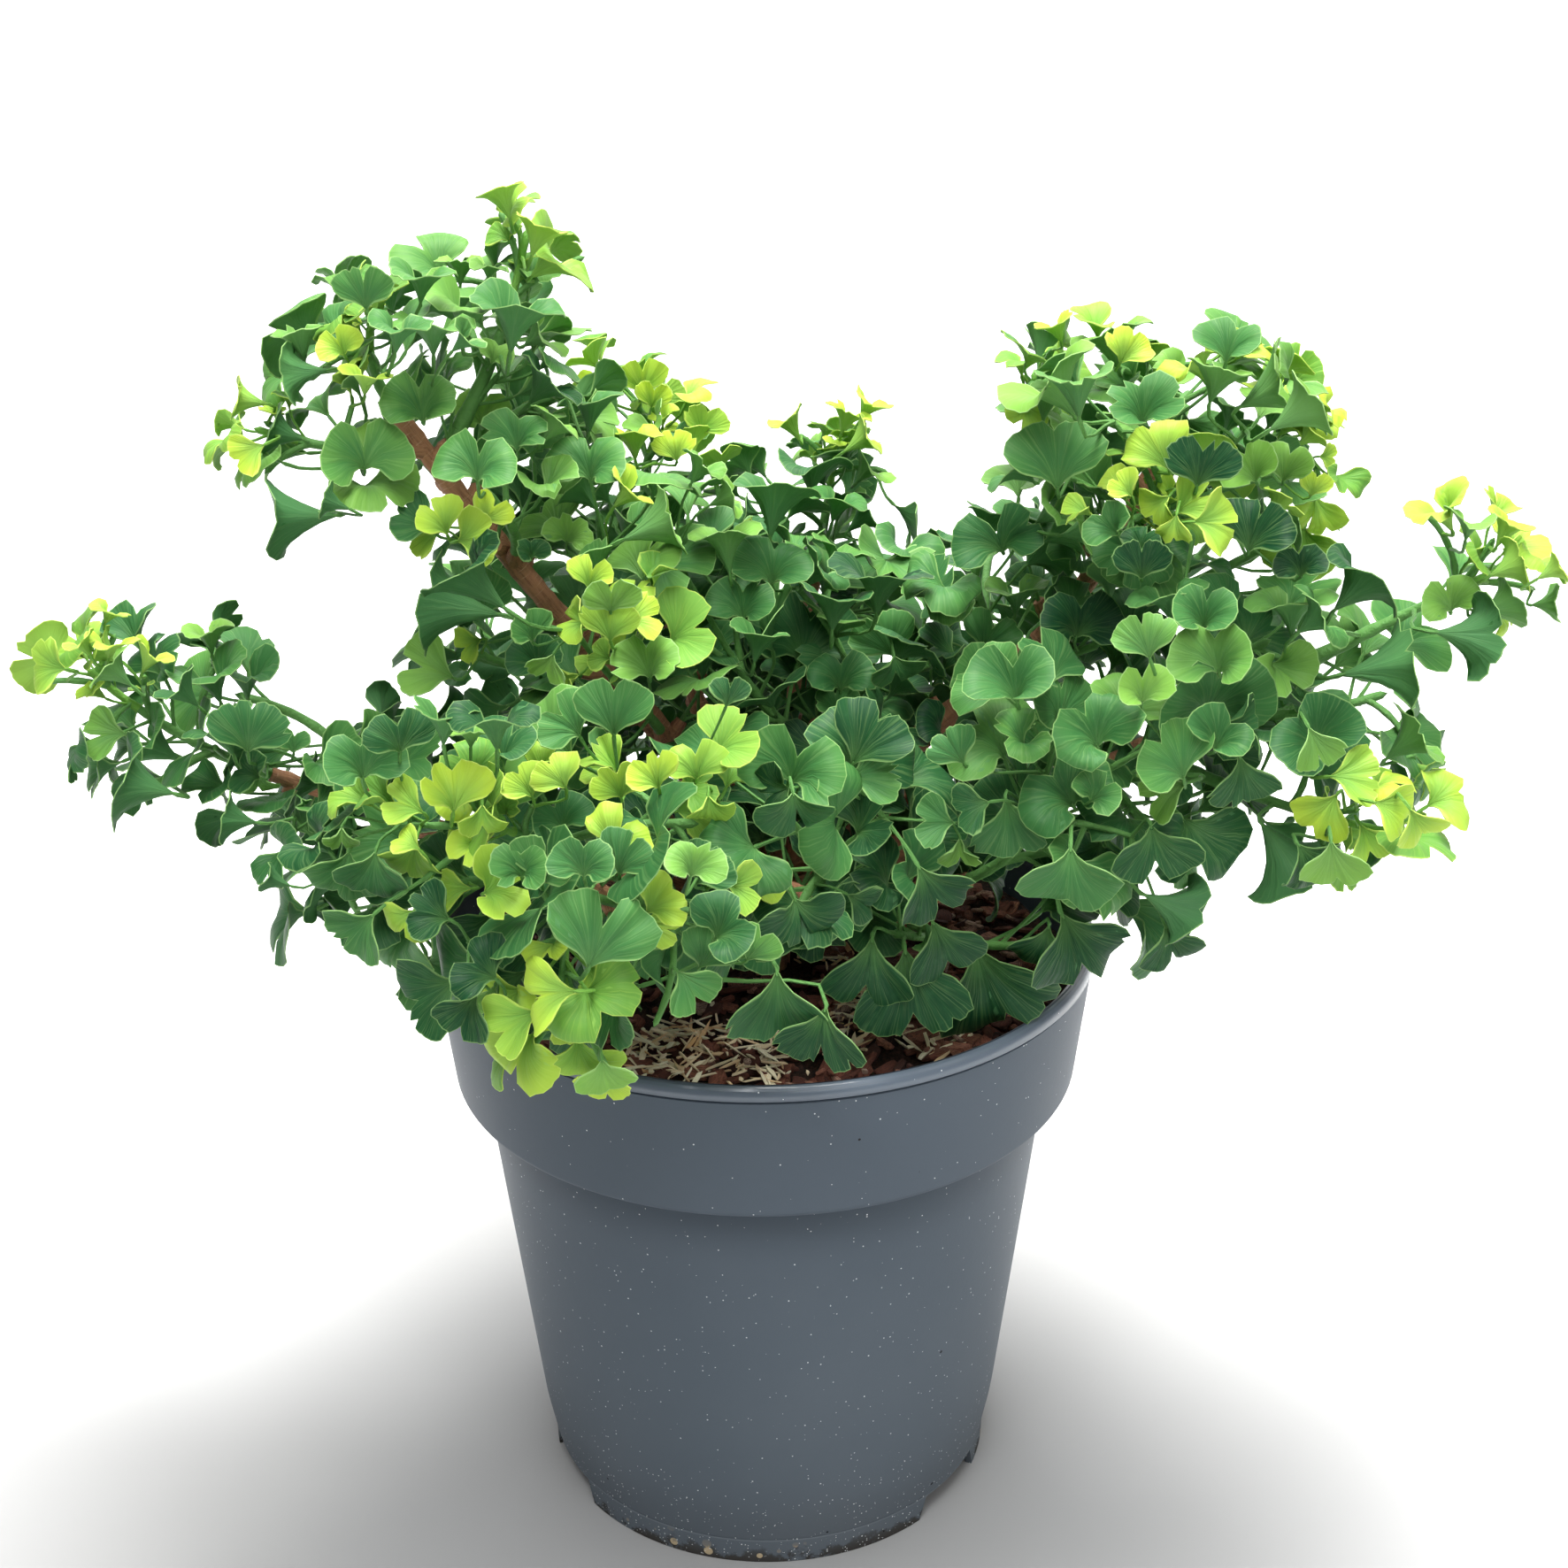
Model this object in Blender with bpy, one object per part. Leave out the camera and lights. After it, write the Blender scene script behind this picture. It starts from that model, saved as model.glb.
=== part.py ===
# Dwarf ginkgo with fan-shaped leaves, growing in a round nursery pot under bark mulch.
# Metres, +Z up, -Y towards the front. The origin is the centre of the pot's underside.
import math
import random
from collections import namedtuple

import bmesh
import bpy
from mathutils import Vector
from mathutils.bvhtree import BVHTree

# Driving dimensions of the pot
RIM_RADIUS = 0.160
POT_HEIGHT = 0.2933
WALL = 0.0026
BEAD = 0.008
BEAD_LIP = 0.0022
COLLAR_BOTTOM = 0.2246
COLLAR_RADIUS = 0.1518
NECK_RADIUS = 0.1389
KINK_HEIGHT = 0.0368
KINK_RADIUS = 0.1174
FOOT_RADIUS = 0.1125
FOOT_HEIGHT = 0.0142
FOOT_RING = 0.0035
FLOOR = 0.0038
WELL_RADIUS = 0.034
WELL_FLARE = 0.004
NOTCH_HEIGHT = 0.0128
NOTCH_WIDTH = math.radians(25)
NOTCH_AZIMUTHS = (-155, -35, 85)
DRAIN_RADIUS = 0.005
DRAIN_CIRCLE = 0.075
DRAINS = 5
DRAIN_SIDES = 8
OVERCUT = 0.004
POT_SEGMENTS = 30

# Driving dimensions of what fills the pot
SOIL_TOP = 0.2560
SOIL_CLEARANCE = 0.0012
MULCH_TOP = 0.2690
MULCH_ROUGHNESS = 0.0022
CHIPS = 20
CHIP_LENGTHS = (0.010, 0.016)
CHIP_WIDTHS = (0.006, 0.010)
CHIP_THICKNESS = 0.0075
CHIP_TOP = 0.72
CHIP_RING = (0.024, 0.140)
FILL_SEGMENTS = 24
GAP = 0.0003
TRUNK_CLEARANCE = 0.0004

# Driving dimensions of the wood
TRUNK_RADIUS = 0.0130
TRUNK_FOOT = 0.2350
TRUNK_SIDES = 8
LIMB_SIDES = 5
SPUR_LENGTH = 0.0065
SPUR_RADIUS = 0.0042
SPUR_COLLAR = 0.0004

# Driving dimensions of the green shoots and leaves
TWIG_RADIUS = 0.0026
TWIG_TIP_RADIUS = 0.0018
TWIG_SIDES = 4
TWIG_STEPS = 2
FORK = 0.3
FORK_THINNING = 0.8
YOUNG_FROM = 0.72
BLADE_RADIUS = 0.0310
YOUNG_BLADE_RADIUS = 0.0240
STALK_LENGTH = 0.030
YOUNG_STALK_LENGTH = 0.021
STALK_WIDTH = 0.0018
STALK_ROOT = 0.0006
BARE_STALK = 0.0048
BLADE_THICKNESS = 0.0008
BLADE_RIM = (-0.94, -0.42, 0, 0.42, 0.94)
NOTCH_SPREAD = 0.09
CORNER = 0.72
CORNER_DROP = 0.34
LEAF_CLEARANCE = 0.0012
ATTEMPTS = 16
GOLDEN_ANGLE = math.radians(137.508)
CROWN_CENTRE = Vector((0.02, 0.0, 0.33))
CROWN_LOW = 0.34
CROWN_DEPTH = 0.2

# How a blade curls: half angle of its cone, added flare at the rim and half spread, all in degrees
FUNNEL = ((42, 52), (30, 60), (70, 84))
CUP = ((54, 66), (15, 35), (78, 92))
OPEN_FAN = ((70, 84), (0, 14), (84, 102))

UP = Vector((0, 0, 1))
FLAT = math.radians(1.0)
MERGE = 2e-6

# A closed ring round the pot's rim and wall that the leaves stay out of
POT_GUARD = ((0, 0.2), (NECK_RADIUS, 0.2), (COLLAR_RADIUS, COLLAR_BOTTOM), (RIM_RADIUS, POT_HEIGHT),
             (RIM_RADIUS - BEAD, POT_HEIGHT), (RIM_RADIUS - BEAD, MULCH_TOP), (0, MULCH_TOP))

# Centre lines of the wood, from the trunk outwards, with the radius at each end
TRUNK_LINE = ((0, 0, TRUNK_FOOT), (0, 0, 0.274), (0.003, 0.001, 0.308), (0.002, 0.004, 0.336))
TRUNK_RADII = (TRUNK_RADIUS, TRUNK_RADIUS, 0.0125, 0.0105)
LIMBS = {
    "upper_left": (0.0095, 0.0046, ((0, 0, 0.298), (-0.018, -0.008, 0.345), (-0.047, -0.015, 0.398),
                                    (-0.097, -0.025, 0.467), (-0.129, -0.030, 0.513),
                                    (-0.154, -0.034, 0.552))),
    "left": (0.0085, 0.0040, ((0, 0, 0.292), (-0.070, -0.020, 0.330), (-0.150, -0.042, 0.362),
                              (-0.216, -0.060, 0.396))),
    "front_left": (0.0085, 0.0042, ((0, 0, 0.292), (-0.030, -0.060, 0.328), (-0.058, -0.120, 0.362),
                                    (-0.070, -0.152, 0.384))),
    "front": (0.0070, 0.0040, ((0, 0, 0.296), (0.016, -0.056, 0.326), (0.024, -0.088, 0.352))),
    "front_right": (0.0075, 0.0042, ((0, 0, 0.294), (0.056, -0.046, 0.318), (0.092, -0.072, 0.348))),
    "right": (0.0090, 0.0044, ((0.002, 0, 0.304), (0.080, -0.026, 0.345), (0.155, -0.042, 0.390),
                               (0.214, -0.044, 0.424))),
    "dome": (0.0095, 0.0048, ((0.002, 0, 0.310), (0.062, 0.004, 0.374), (0.128, 0.004, 0.434),
                              (0.162, 0.002, 0.484), (0.176, 0, 0.516))),
    "middle": (0.0075, 0.0042, ((0.003, 0, 0.318), (0.012, -0.004, 0.360), (0.032, -0.006, 0.398))),
    "back_left": (0.0075, 0.0040, ((0, 0.002, 0.312), (-0.028, 0.040, 0.380), (-0.050, 0.072, 0.440),
                                   (-0.056, 0.084, 0.480))),
    "back": (0.0080, 0.0040, ((0, 0.002, 0.308), (0.012, 0.040, 0.366), (0.022, 0.080, 0.420),
                              (0.030, 0.102, 0.456))),
    "low_back_left": (0.0080, 0.0040, ((0, 0, 0.296), (-0.060, 0.062, 0.330), (-0.112, 0.112, 0.366))),
    "low_back": (0.0075, 0.0040, ((0, 0, 0.300), (0.006, 0.078, 0.334), (0.014, 0.138, 0.372))),
    "low_back_right": (0.0080, 0.0040, ((0, 0, 0.298), (0.072, 0.060, 0.338), (0.132, 0.104, 0.378))),
}

# Leafy sprays: limb, place along it, size of the blades, and for each shoot its tip,
# its green leaves and its young leaves; the second and later shoots fork from the first
SPRAYS = {
    "crest": ("upper_left", 0.90, 0.85, (((-0.098, 0.000, 0.620), 5, 4),)),
    "upper_left_end": ("upper_left", 1.00, 0.85, (((-0.160, -0.044, 0.588), 3, 3),
                                                 ((-0.172, -0.010, 0.574), 2, 0))),
    "upper_left_outer": ("upper_left", 0.93, 0.85, (((-0.208, -0.052, 0.548), 3, 4),
                                                    ((-0.176, -0.078, 0.520), 3, 0))),
    "upper_left_back": ("upper_left", 0.82, 0.90, (((-0.130, 0.034, 0.576), 3, 0),
                                                   ((-0.086, 0.014, 0.548), 3, 0))),
    "upper_left_front": ("upper_left", 0.72, 0.95, (((-0.112, -0.072, 0.526), 4, 0),)),
    "upper_left_low": ("upper_left", 0.56, 0.95, (((-0.074, 0.026, 0.488), 3, 0),
                                                  ((-0.066, -0.034, 0.490), 3, 0))),
    "upper_left_under": ("upper_left", 0.50, 0.95, (((-0.122, -0.046, 0.446), 3, 0),)),
    "upper_left_trio": ("upper_left", 0.36, 1.0, (((-0.064, -0.062, 0.440), 3, 4),)),
    "back_left_top": ("back_left", 1.00, 0.85, (((-0.050, 0.090, 0.510), 3, 4),
                                                ((-0.088, 0.084, 0.486), 2, 0))),
    "back_left_inner": ("back_left", 0.72, 0.95, (((-0.016, 0.060, 0.468), 3, 0),
                                                  ((-0.044, 0.026, 0.462), 3, 0))),
    "back_top": ("back", 1.00, 0.70, (((0.036, 0.106, 0.492), 4, 4),)),
    "back_side": ("back", 0.72, 0.90, (((0.054, 0.078, 0.434), 3, 0), ((0.062, 0.104, 0.404), 3, 0))),
    "middle_left": ("middle", 0.80, 1.0, (((-0.010, -0.026, 0.432), 3, 0), ((-0.042, -0.036, 0.396), 3, 0))),
    "middle_top": ("middle", 1.00, 1.0, (((0.040, -0.010, 0.430), 3, 0), ((0.078, 0.012, 0.418), 3, 0))),
    "dome_top": ("dome", 1.00, 0.85, (((0.172, 0.000, 0.564), 4, 4), ((0.196, 0.038, 0.540), 3, 0))),
    "dome_left": ("dome", 0.82, 0.80, (((0.122, 0.006, 0.556), 4, 4),)),
    "dome_right": ("dome", 0.90, 0.85, (((0.236, 0.000, 0.536), 4, 4),)),
    "dome_front": ("dome", 0.84, 0.95, (((0.172, -0.060, 0.514), 3, 4),)),
    "dome_low_left": ("dome", 0.58, 0.95, (((0.096, -0.014, 0.474), 3, 0), ((0.108, 0.040, 0.464), 2, 0))),
    "dome_low_right": ("dome", 0.70, 0.95, (((0.236, -0.022, 0.494), 3, 0), ((0.216, 0.044, 0.474), 3, 0))),
    "dome_middle": ("dome", 0.50, 1.0, (((0.146, -0.052, 0.450), 4, 0),)),
    "right_far": ("right", 1.00, 0.85, (((0.314, -0.062, 0.486), 5, 4),)),
    "right_upper": ("right", 0.86, 0.95, (((0.214, -0.078, 0.460), 4, 0),)),
    "right_lower": ("right", 0.92, 0.95, (((0.270, -0.062, 0.430), 3, 0), ((0.252, -0.010, 0.416), 3, 0))),
    "right_front": ("right", 0.66, 1.0, (((0.184, -0.110, 0.412), 4, 0), ((0.178, -0.092, 0.364), 3, 0))),
    "right_lime": ("right", 0.80, 0.95, (((0.260, -0.128, 0.394), 3, 4),)),
    "right_back": ("right", 0.62, 1.0, (((0.176, 0.044, 0.408), 3, 0), ((0.226, 0.036, 0.396), 2, 0))),
    "front_right_upper": ("front_right", 1.00, 1.05, (((0.114, -0.118, 0.400), 4, 0),
                                                      ((0.132, -0.082, 0.366), 3, 0))),
    "front_right_lower": ("front_right", 0.62, 1.05, (((0.112, -0.094, 0.326), 3, 0),
                                                      ((0.058, -0.106, 0.338), 3, 0))),
    "front_upper": ("front", 1.00, 1.10, (((0.010, -0.132, 0.406), 3, 0), ((0.052, -0.118, 0.398), 3, 0),
                                          ((0.012, -0.126, 0.352), 3, 0))),
    "front_left_top": ("front_left", 0.96, 1.0, (((-0.104, -0.176, 0.420), 3, 5),
                                                 ((-0.026, -0.164, 0.416), 3, 0))),
    "front_left_end": ("front_left", 1.00, 1.05, (((-0.074, -0.208, 0.362), 4, 5),
                                                  ((-0.022, -0.190, 0.390), 3, 0))),
    "front_left_side": ("front_left", 0.70, 1.0, (((-0.124, -0.156, 0.386), 5, 0),)),
    "left_far": ("left", 1.00, 0.85, (((-0.284, -0.076, 0.450), 4, 4), ((-0.262, -0.084, 0.398), 3, 0))),
    "left_upper": ("left", 0.80, 0.90, (((-0.232, -0.036, 0.424), 3, 0), ((-0.174, -0.010, 0.398), 3, 0))),
    "left_lower": ("left", 0.66, 1.0, (((-0.200, -0.086, 0.362), 4, 0), ((-0.162, -0.118, 0.338), 3, 0))),
    "low_back_left_end": ("low_back_left", 0.96, 1.05, (((-0.150, 0.140, 0.396), 3, 0),
                                                        ((-0.092, 0.150, 0.390), 3, 0))),
    "low_back_end": ("low_back", 0.96, 1.05, (((-0.008, 0.176, 0.396), 3, 0), ((0.046, 0.168, 0.398), 3, 0))),
    "low_back_right_end": ("low_back_right", 0.96, 1.05, (((0.160, 0.136, 0.408), 3, 0),
                                                          ((0.108, 0.152, 0.392), 3, 0))),
}

Leaf = namedtuple("Leaf", "root joint rib face radius spread cone flare sag ruffle waves phase notch")
Solid = namedtuple("Solid", "centre reach tree")
Shoot = namedtuple("Shoot", "name path rng size leaves young close")


# Materials and objects
def clear_scene():
    for item in list(bpy.data.objects):
        bpy.data.objects.remove(item)


def paint(name, colour, roughness):
    material = bpy.data.materials.new(name)
    material.use_nodes = True
    shader = material.node_tree.nodes["Principled BSDF"]
    shader.inputs["Base Color"].default_value = (*colour, 1)
    shader.inputs["Roughness"].default_value = roughness
    shader.inputs["Metallic"].default_value = 0
    return material


def place(name, bm, material, parent, origin=(0, 0, 0), crease=35):
    """Put a mesh built in world coordinates into an object whose origin is at the given point."""
    bmesh.ops.translate(bm, verts=bm.verts, vec=-Vector(origin))
    mesh = bpy.data.meshes.new(name)
    bm.to_mesh(mesh)
    bm.free()
    mesh.materials.append(material)
    mesh.shade_smooth()
    mesh.set_sharp_from_angle(angle=math.radians(crease))
    item = bpy.data.objects.new(name, mesh)
    item.location = origin
    item.parent = parent
    bpy.context.collection.objects.link(item)


# Solid shapes
def turned(profile, segments):
    """Turn a profile of (radius, height) points, from axis to axis, about Z."""
    bm = bmesh.new()
    line = [bm.verts.new((radius, 0, height)) for radius, height in profile]
    edges = [bm.edges.new(pair) for pair in zip(line, line[1:])]
    bmesh.ops.spin(bm, geom=line + edges, cent=(0, 0, 0), axis=(0, 0, 1), angle=math.tau,
                   steps=segments, use_merge=True, use_duplicate=False)
    bmesh.ops.remove_doubles(bm, verts=bm.verts, dist=1e-6)
    return bm


def frame_across(direction):
    """Two unit vectors square to a direction and to each other, the first one level."""
    level = direction.cross(UP)
    if level.length < 1e-3:
        level = Vector((1, 0, 0))
    level.normalize()
    return level, level.cross(direction).normalized()


def headings_of(points):
    """Direction of a line of points at each of them."""
    last = len(points) - 1
    pairs = [(points[max(index - 1, 0)], points[min(index + 1, last)]) for index in range(last + 1)]
    return [(after - before).normalized() for before, after in pairs]


def tube(points, headings, radii, sides, pointed=False):
    """A tube whose rings stand square to the headings, with a bud-like point at the far end or none."""
    bm = bmesh.new()
    rings = []
    level, _ = frame_across(headings[0])
    turns = [math.tau * side / sides for side in range(sides)]
    for point, heading, radius in zip(points, headings, radii):
        level = (level - level.dot(heading) * heading).normalized()
        steep = level.cross(heading)
        offsets = [math.cos(turn) * level + math.sin(turn) * steep for turn in turns]
        rings.append([bm.verts.new(point + radius * offset) for offset in offsets])
    for ring, following in zip(rings, rings[1:]):
        for side in range(sides):
            other = (side + 1) % sides
            bm.faces.new((ring[side], ring[other], following[other], following[side]))
    bm.faces.new(list(reversed(rings[0])))
    if pointed:
        tip = bm.verts.new(points[-1] + 1.6 * radii[-1] * headings[-1])
        for side in range(sides):
            bm.faces.new((rings[-1][side], rings[-1][(side + 1) % sides], tip))
    else:
        bm.faces.new(rings[-1])
    return bm


def six_sided(corners):
    """A body with a bottom and a top ring of four corners each."""
    bm = bmesh.new()
    verts = [bm.verts.new(corner) for corner in corners]
    for face in ((0, 3, 2, 1), (4, 5, 6, 7), (0, 1, 5, 4), (1, 2, 6, 5), (2, 3, 7, 6), (3, 0, 4, 7)):
        bm.faces.new([verts[i] for i in face])
    return bm


def combined(operation, body, others):
    """Join closed bodies to one, or cut them out of it, as triangles of its largest shell."""
    helpers = bpy.data.collections.new("helpers")
    items = []
    for bm in [body] + others:
        bmesh.ops.recalc_face_normals(bm, faces=bm.faces)
        mesh = bpy.data.meshes.new("helper")
        bm.to_mesh(mesh)
        bm.free()
        items.append(bpy.data.objects.new("helper", mesh))
    bpy.context.scene.collection.objects.link(items[0])
    for item in items[1:]:
        helpers.objects.link(item)
    step = items[0].modifiers.new("step", "BOOLEAN")
    step.operation = operation
    step.operand_type = "COLLECTION"
    step.collection = helpers
    union = operation == "UNION"
    for step.solver, flatten in (("EXACT", union), ("MANIFOLD", union), ("EXACT", False)):
        result = bmesh.new()
        result.from_object(items[0], bpy.context.evaluated_depsgraph_get())
        tidy(result, flatten)
        if all(edge.is_manifold for edge in result.edges):
            break
    for item in items:
        mesh = item.data
        bpy.data.objects.remove(item)
        bpy.data.meshes.remove(mesh)
    bpy.data.collections.remove(helpers)
    return result


def tidy(bm, flatten):
    """Merge what coincides, drop loose scraps, and turn flat areas back into few triangles."""
    bmesh.ops.remove_doubles(bm, verts=bm.verts, dist=MERGE)
    bmesh.ops.dissolve_degenerate(bm, edges=bm.edges, dist=MERGE)
    keep_largest_shell(bm)
    if flatten:
        bmesh.ops.dissolve_limit(bm, angle_limit=FLAT, verts=bm.verts, edges=bm.edges)
    bmesh.ops.triangulate(bm, faces=bm.faces)


def keep_largest_shell(bm):
    unseen = set(bm.verts)
    shells = []
    while unseen:
        shell = []
        stack = [unseen.pop()]
        while stack:
            vert = stack.pop()
            shell.append(vert)
            for edge in vert.link_edges:
                other = edge.other_vert(vert)
                if other in unseen:
                    unseen.remove(other)
                    stack.append(other)
        shells.append(shell)
    shells.sort(key=len)
    for shell in shells[:-1]:
        bmesh.ops.delete(bm, geom=shell, context="VERTS")


# Pot
def inner_radius(height):
    """Radius of the pot's inside wall at a height above its floor."""
    if height > COLLAR_BOTTOM:
        share = (height - COLLAR_BOTTOM) / (POT_HEIGHT - BEAD - COLLAR_BOTTOM)
        return COLLAR_RADIUS - WALL + share * (RIM_RADIUS - BEAD_LIP - COLLAR_RADIUS)
    share = (height - KINK_HEIGHT) / (COLLAR_BOTTOM - KINK_HEIGHT)
    return KINK_RADIUS - WALL + share * (NECK_RADIUS - KINK_RADIUS)


def make_pot(material, parent):
    top = FOOT_HEIGHT + FLOOR
    shoulder = COLLAR_BOTTOM + WALL
    under_bead = POT_HEIGHT - BEAD
    profile = (
        (0, 0), (WELL_RADIUS, 0), (WELL_RADIUS + WELL_FLARE, FOOT_HEIGHT),
        (FOOT_RADIUS - FOOT_RING - 0.0005, FOOT_HEIGHT), (FOOT_RADIUS - FOOT_RING, 0), (FOOT_RADIUS, 0),
        (FOOT_RADIUS + 0.0003, FOOT_HEIGHT), (KINK_RADIUS, KINK_HEIGHT), (NECK_RADIUS, COLLAR_BOTTOM),
        (COLLAR_RADIUS - 0.0012, COLLAR_BOTTOM - 0.0006), (COLLAR_RADIUS, COLLAR_BOTTOM + 0.0008),
        (RIM_RADIUS - BEAD_LIP, under_bead), (RIM_RADIUS, under_bead + 0.002),
        (RIM_RADIUS, POT_HEIGHT - 0.003), (RIM_RADIUS - BEAD_LIP, POT_HEIGHT),
        (inner_radius(under_bead), under_bead), (inner_radius(shoulder), shoulder + 0.001),
        (inner_radius(COLLAR_BOTTOM), shoulder), (inner_radius(KINK_HEIGHT), KINK_HEIGHT),
        (FOOT_RADIUS - WALL, top), (WELL_RADIUS + WELL_FLARE - WALL, top), (WELL_RADIUS - WALL, FLOOR),
        (0, FLOOR),
    )
    cutters = [notch(math.radians(azimuth)) for azimuth in NOTCH_AZIMUTHS]
    for hole in range(DRAINS):
        turn = math.tau * (hole + 0.5) / DRAINS
        centre = DRAIN_CIRCLE * Vector((math.cos(turn), math.sin(turn), 0))
        ends = (centre + (FOOT_HEIGHT - OVERCUT) * UP, centre + (top + OVERCUT) * UP)
        cutters.append(tube(ends, (UP, UP), (DRAIN_RADIUS, DRAIN_RADIUS), DRAIN_SIDES))
    place("pot", combined("DIFFERENCE", turned(profile, POT_SEGMENTS), cutters), material, parent)


def notch(azimuth):
    """A wedge that takes a stretch of the foot ring away, from the floor up."""
    corners = []
    inside = FOOT_RADIUS - FOOT_RING - OVERCUT
    outside = FOOT_RADIUS + OVERCUT
    for height in (-OVERCUT, NOTCH_HEIGHT):
        for radius, side in ((inside, -1), (outside, -1), (outside, 1), (inside, 1)):
            turn = azimuth + side * NOTCH_WIDTH / 2
            corners.append((radius * math.cos(turn), radius * math.sin(turn), height))
    return six_sided(corners)


# Soil and mulch
def trunk_hole(bottom, top):
    radius = TRUNK_RADIUS + TRUNK_CLEARANCE
    return tube((bottom * UP, top * UP), (UP, UP), (radius, radius), TRUNK_SIDES)


def make_soil(material, parent):
    """The plug of potting soil, down into the floor's well, with a plain hole for the trunk."""
    bottom = FOOT_HEIGHT + FLOOR + GAP
    profile = (
        (0, FLOOR + GAP), (WELL_RADIUS - WALL - SOIL_CLEARANCE, FLOOR + GAP),
        (WELL_RADIUS + WELL_FLARE - WALL - SOIL_CLEARANCE, bottom),
        (FOOT_RADIUS - WALL - SOIL_CLEARANCE, bottom),
        (inner_radius(KINK_HEIGHT) - SOIL_CLEARANCE, KINK_HEIGHT),
        (inner_radius(COLLAR_BOTTOM) - SOIL_CLEARANCE, COLLAR_BOTTOM + WALL + 0.0015),
        (inner_radius(COLLAR_BOTTOM + 0.001) - SOIL_CLEARANCE, COLLAR_BOTTOM + WALL + 0.0025),
        (inner_radius(SOIL_TOP) - SOIL_CLEARANCE, SOIL_TOP), (0, SOIL_TOP),
    )
    soil = turned(profile, FILL_SEGMENTS)
    hole = trunk_hole(TRUNK_FOOT - GAP, SOIL_TOP + OVERCUT)
    place("potting_soil", combined("DIFFERENCE", soil, [hole]), material, parent)


def bark_chip(rng, spot):
    """A bark chip lying askew, half sunk in the layer, its top a little smaller than its bottom."""
    yaw = rng.uniform(0, math.tau)
    along = Vector((math.cos(yaw), math.sin(yaw), rng.uniform(-0.16, 0.16))).normalized()
    across = Vector((-math.sin(yaw), math.cos(yaw), rng.uniform(-0.2, 0.2)))
    across = (across - across.dot(along) * along).normalized()
    length = rng.uniform(*CHIP_LENGTHS)
    width = rng.uniform(*CHIP_WIDTHS)
    corners = []
    for level, shrink in ((-0.5, 1), (0.5, CHIP_TOP)):
        for a, b in ((-0.5, -0.5), (0.5, -0.5), (0.5, 0.5), (-0.5, 0.5)):
            flat = a * shrink * length * along + b * shrink * width * across
            corners.append(spot + flat + level * CHIP_THICKNESS * along.cross(across))
    return six_sided(corners)


def make_mulch(material, parent):
    """A loose layer with an uneven top, covered in bark chips, with a plain hole for the trunk."""
    rng = random.Random(5)
    bottom = SOIL_TOP + GAP
    edge = inner_radius(SOIL_TOP) - SOIL_CLEARANCE
    layer = turned(((0, bottom), (edge, bottom), (edge + 0.0005, MULCH_TOP - 0.002), (0.122, MULCH_TOP),
                    (0.082, MULCH_TOP + 0.001), (0.042, MULCH_TOP + 0.002), (0, MULCH_TOP + 0.003)),
                   FILL_SEGMENTS)
    for vert in layer.verts:
        if vert.co.z > MULCH_TOP - 0.001:
            vert.co.z += rng.uniform(-MULCH_ROUGHNESS, MULCH_ROUGHNESS)
    chips = []
    near, far = CHIP_RING
    for index in range(CHIPS):
        radius = near + (far - near) * math.sqrt((index + 0.5) / CHIPS)
        turn = index * GOLDEN_ANGLE
        chips.append(bark_chip(rng, Vector((radius * math.cos(turn), radius * math.sin(turn), MULCH_TOP))))
    hole = trunk_hole(SOIL_TOP - OVERCUT, MULCH_TOP + 3 * OVERCUT)
    mulch = combined("DIFFERENCE", combined("UNION", layer, chips), [hole])
    solid = solid_of_mesh(mulch)
    place("bark_mulch", mulch, material, parent, (0, 0, bottom))
    return solid


# Wood
def point_on(line, share):
    """Point and direction at a share of the length of a line of points."""
    points = [Vector(point) for point in line]
    lengths = [(b - a).length for a, b in zip(points, points[1:])]
    left = share * sum(lengths)
    for a, b, length in zip(points, points[1:], lengths):
        if left <= length or b is points[-1]:
            return a + (b - a) * min(left / length, 1), (b - a).normalized()
        left -= length


def spur_of(spray):
    """Start and heading of a spray's woody spur on the limb's centre line, and its length.

    A shoot that carries a limb on has no spur: it leaves the limb's end face squarely.
    """
    limb, share, _, shoots = SPRAYS[spray]
    thick, thin, line = LIMBS[limb]
    start, along = point_on(line, share)
    if share == 1:
        return start, along, 0
    aim = (Vector(shoots[0][0]) - start).normalized()
    heading = (aim - 0.6 * aim.dot(along) * along).normalized() + 0.25 * UP
    return start, heading.normalized(), thick + (thin - thick) * share + SPUR_LENGTH


def make_wood(material, parent):
    line = [Vector(point) for point in TRUNK_LINE]
    trunk = tube(line, [UP, UP] + headings_of(line)[2:], TRUNK_RADII, TRUNK_SIDES)
    branches = []
    for thick, thin, points in LIMBS.values():
        line = [Vector(point) for point in points]
        radii = [thick + (thin - thick) * index / (len(line) - 1) for index in range(len(line))]
        branches.append(tube(line, headings_of(line), radii, LIMB_SIDES))
    for start, heading, length in map(spur_of, SPRAYS):
        if length:
            ends = (start, start + length * heading)
            radii = (SPUR_RADIUS, TWIG_RADIUS + SPUR_COLLAR)
            branches.append(tube(ends, (heading, heading), radii, TWIG_SIDES))
    wood = combined("UNION", trunk, branches)
    solid = solid_of_mesh(wood)
    place("trunk_and_limbs", wood, material, parent, (0, 0, TRUNK_FOOT), 50)
    return solid


# Leaves
def blade_reach(leaf, u):
    """Length of the blade at u from -1 to 1 across the fan: a middle notch and rounded corners."""
    reach = 1 - leaf.notch * math.exp(-(u / NOTCH_SPREAD) ** 2)
    if abs(u) > CORNER:
        reach *= 1 - CORNER_DROP * ((abs(u) - CORNER) / (1 - CORNER)) ** 2
    return leaf.radius * reach


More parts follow.
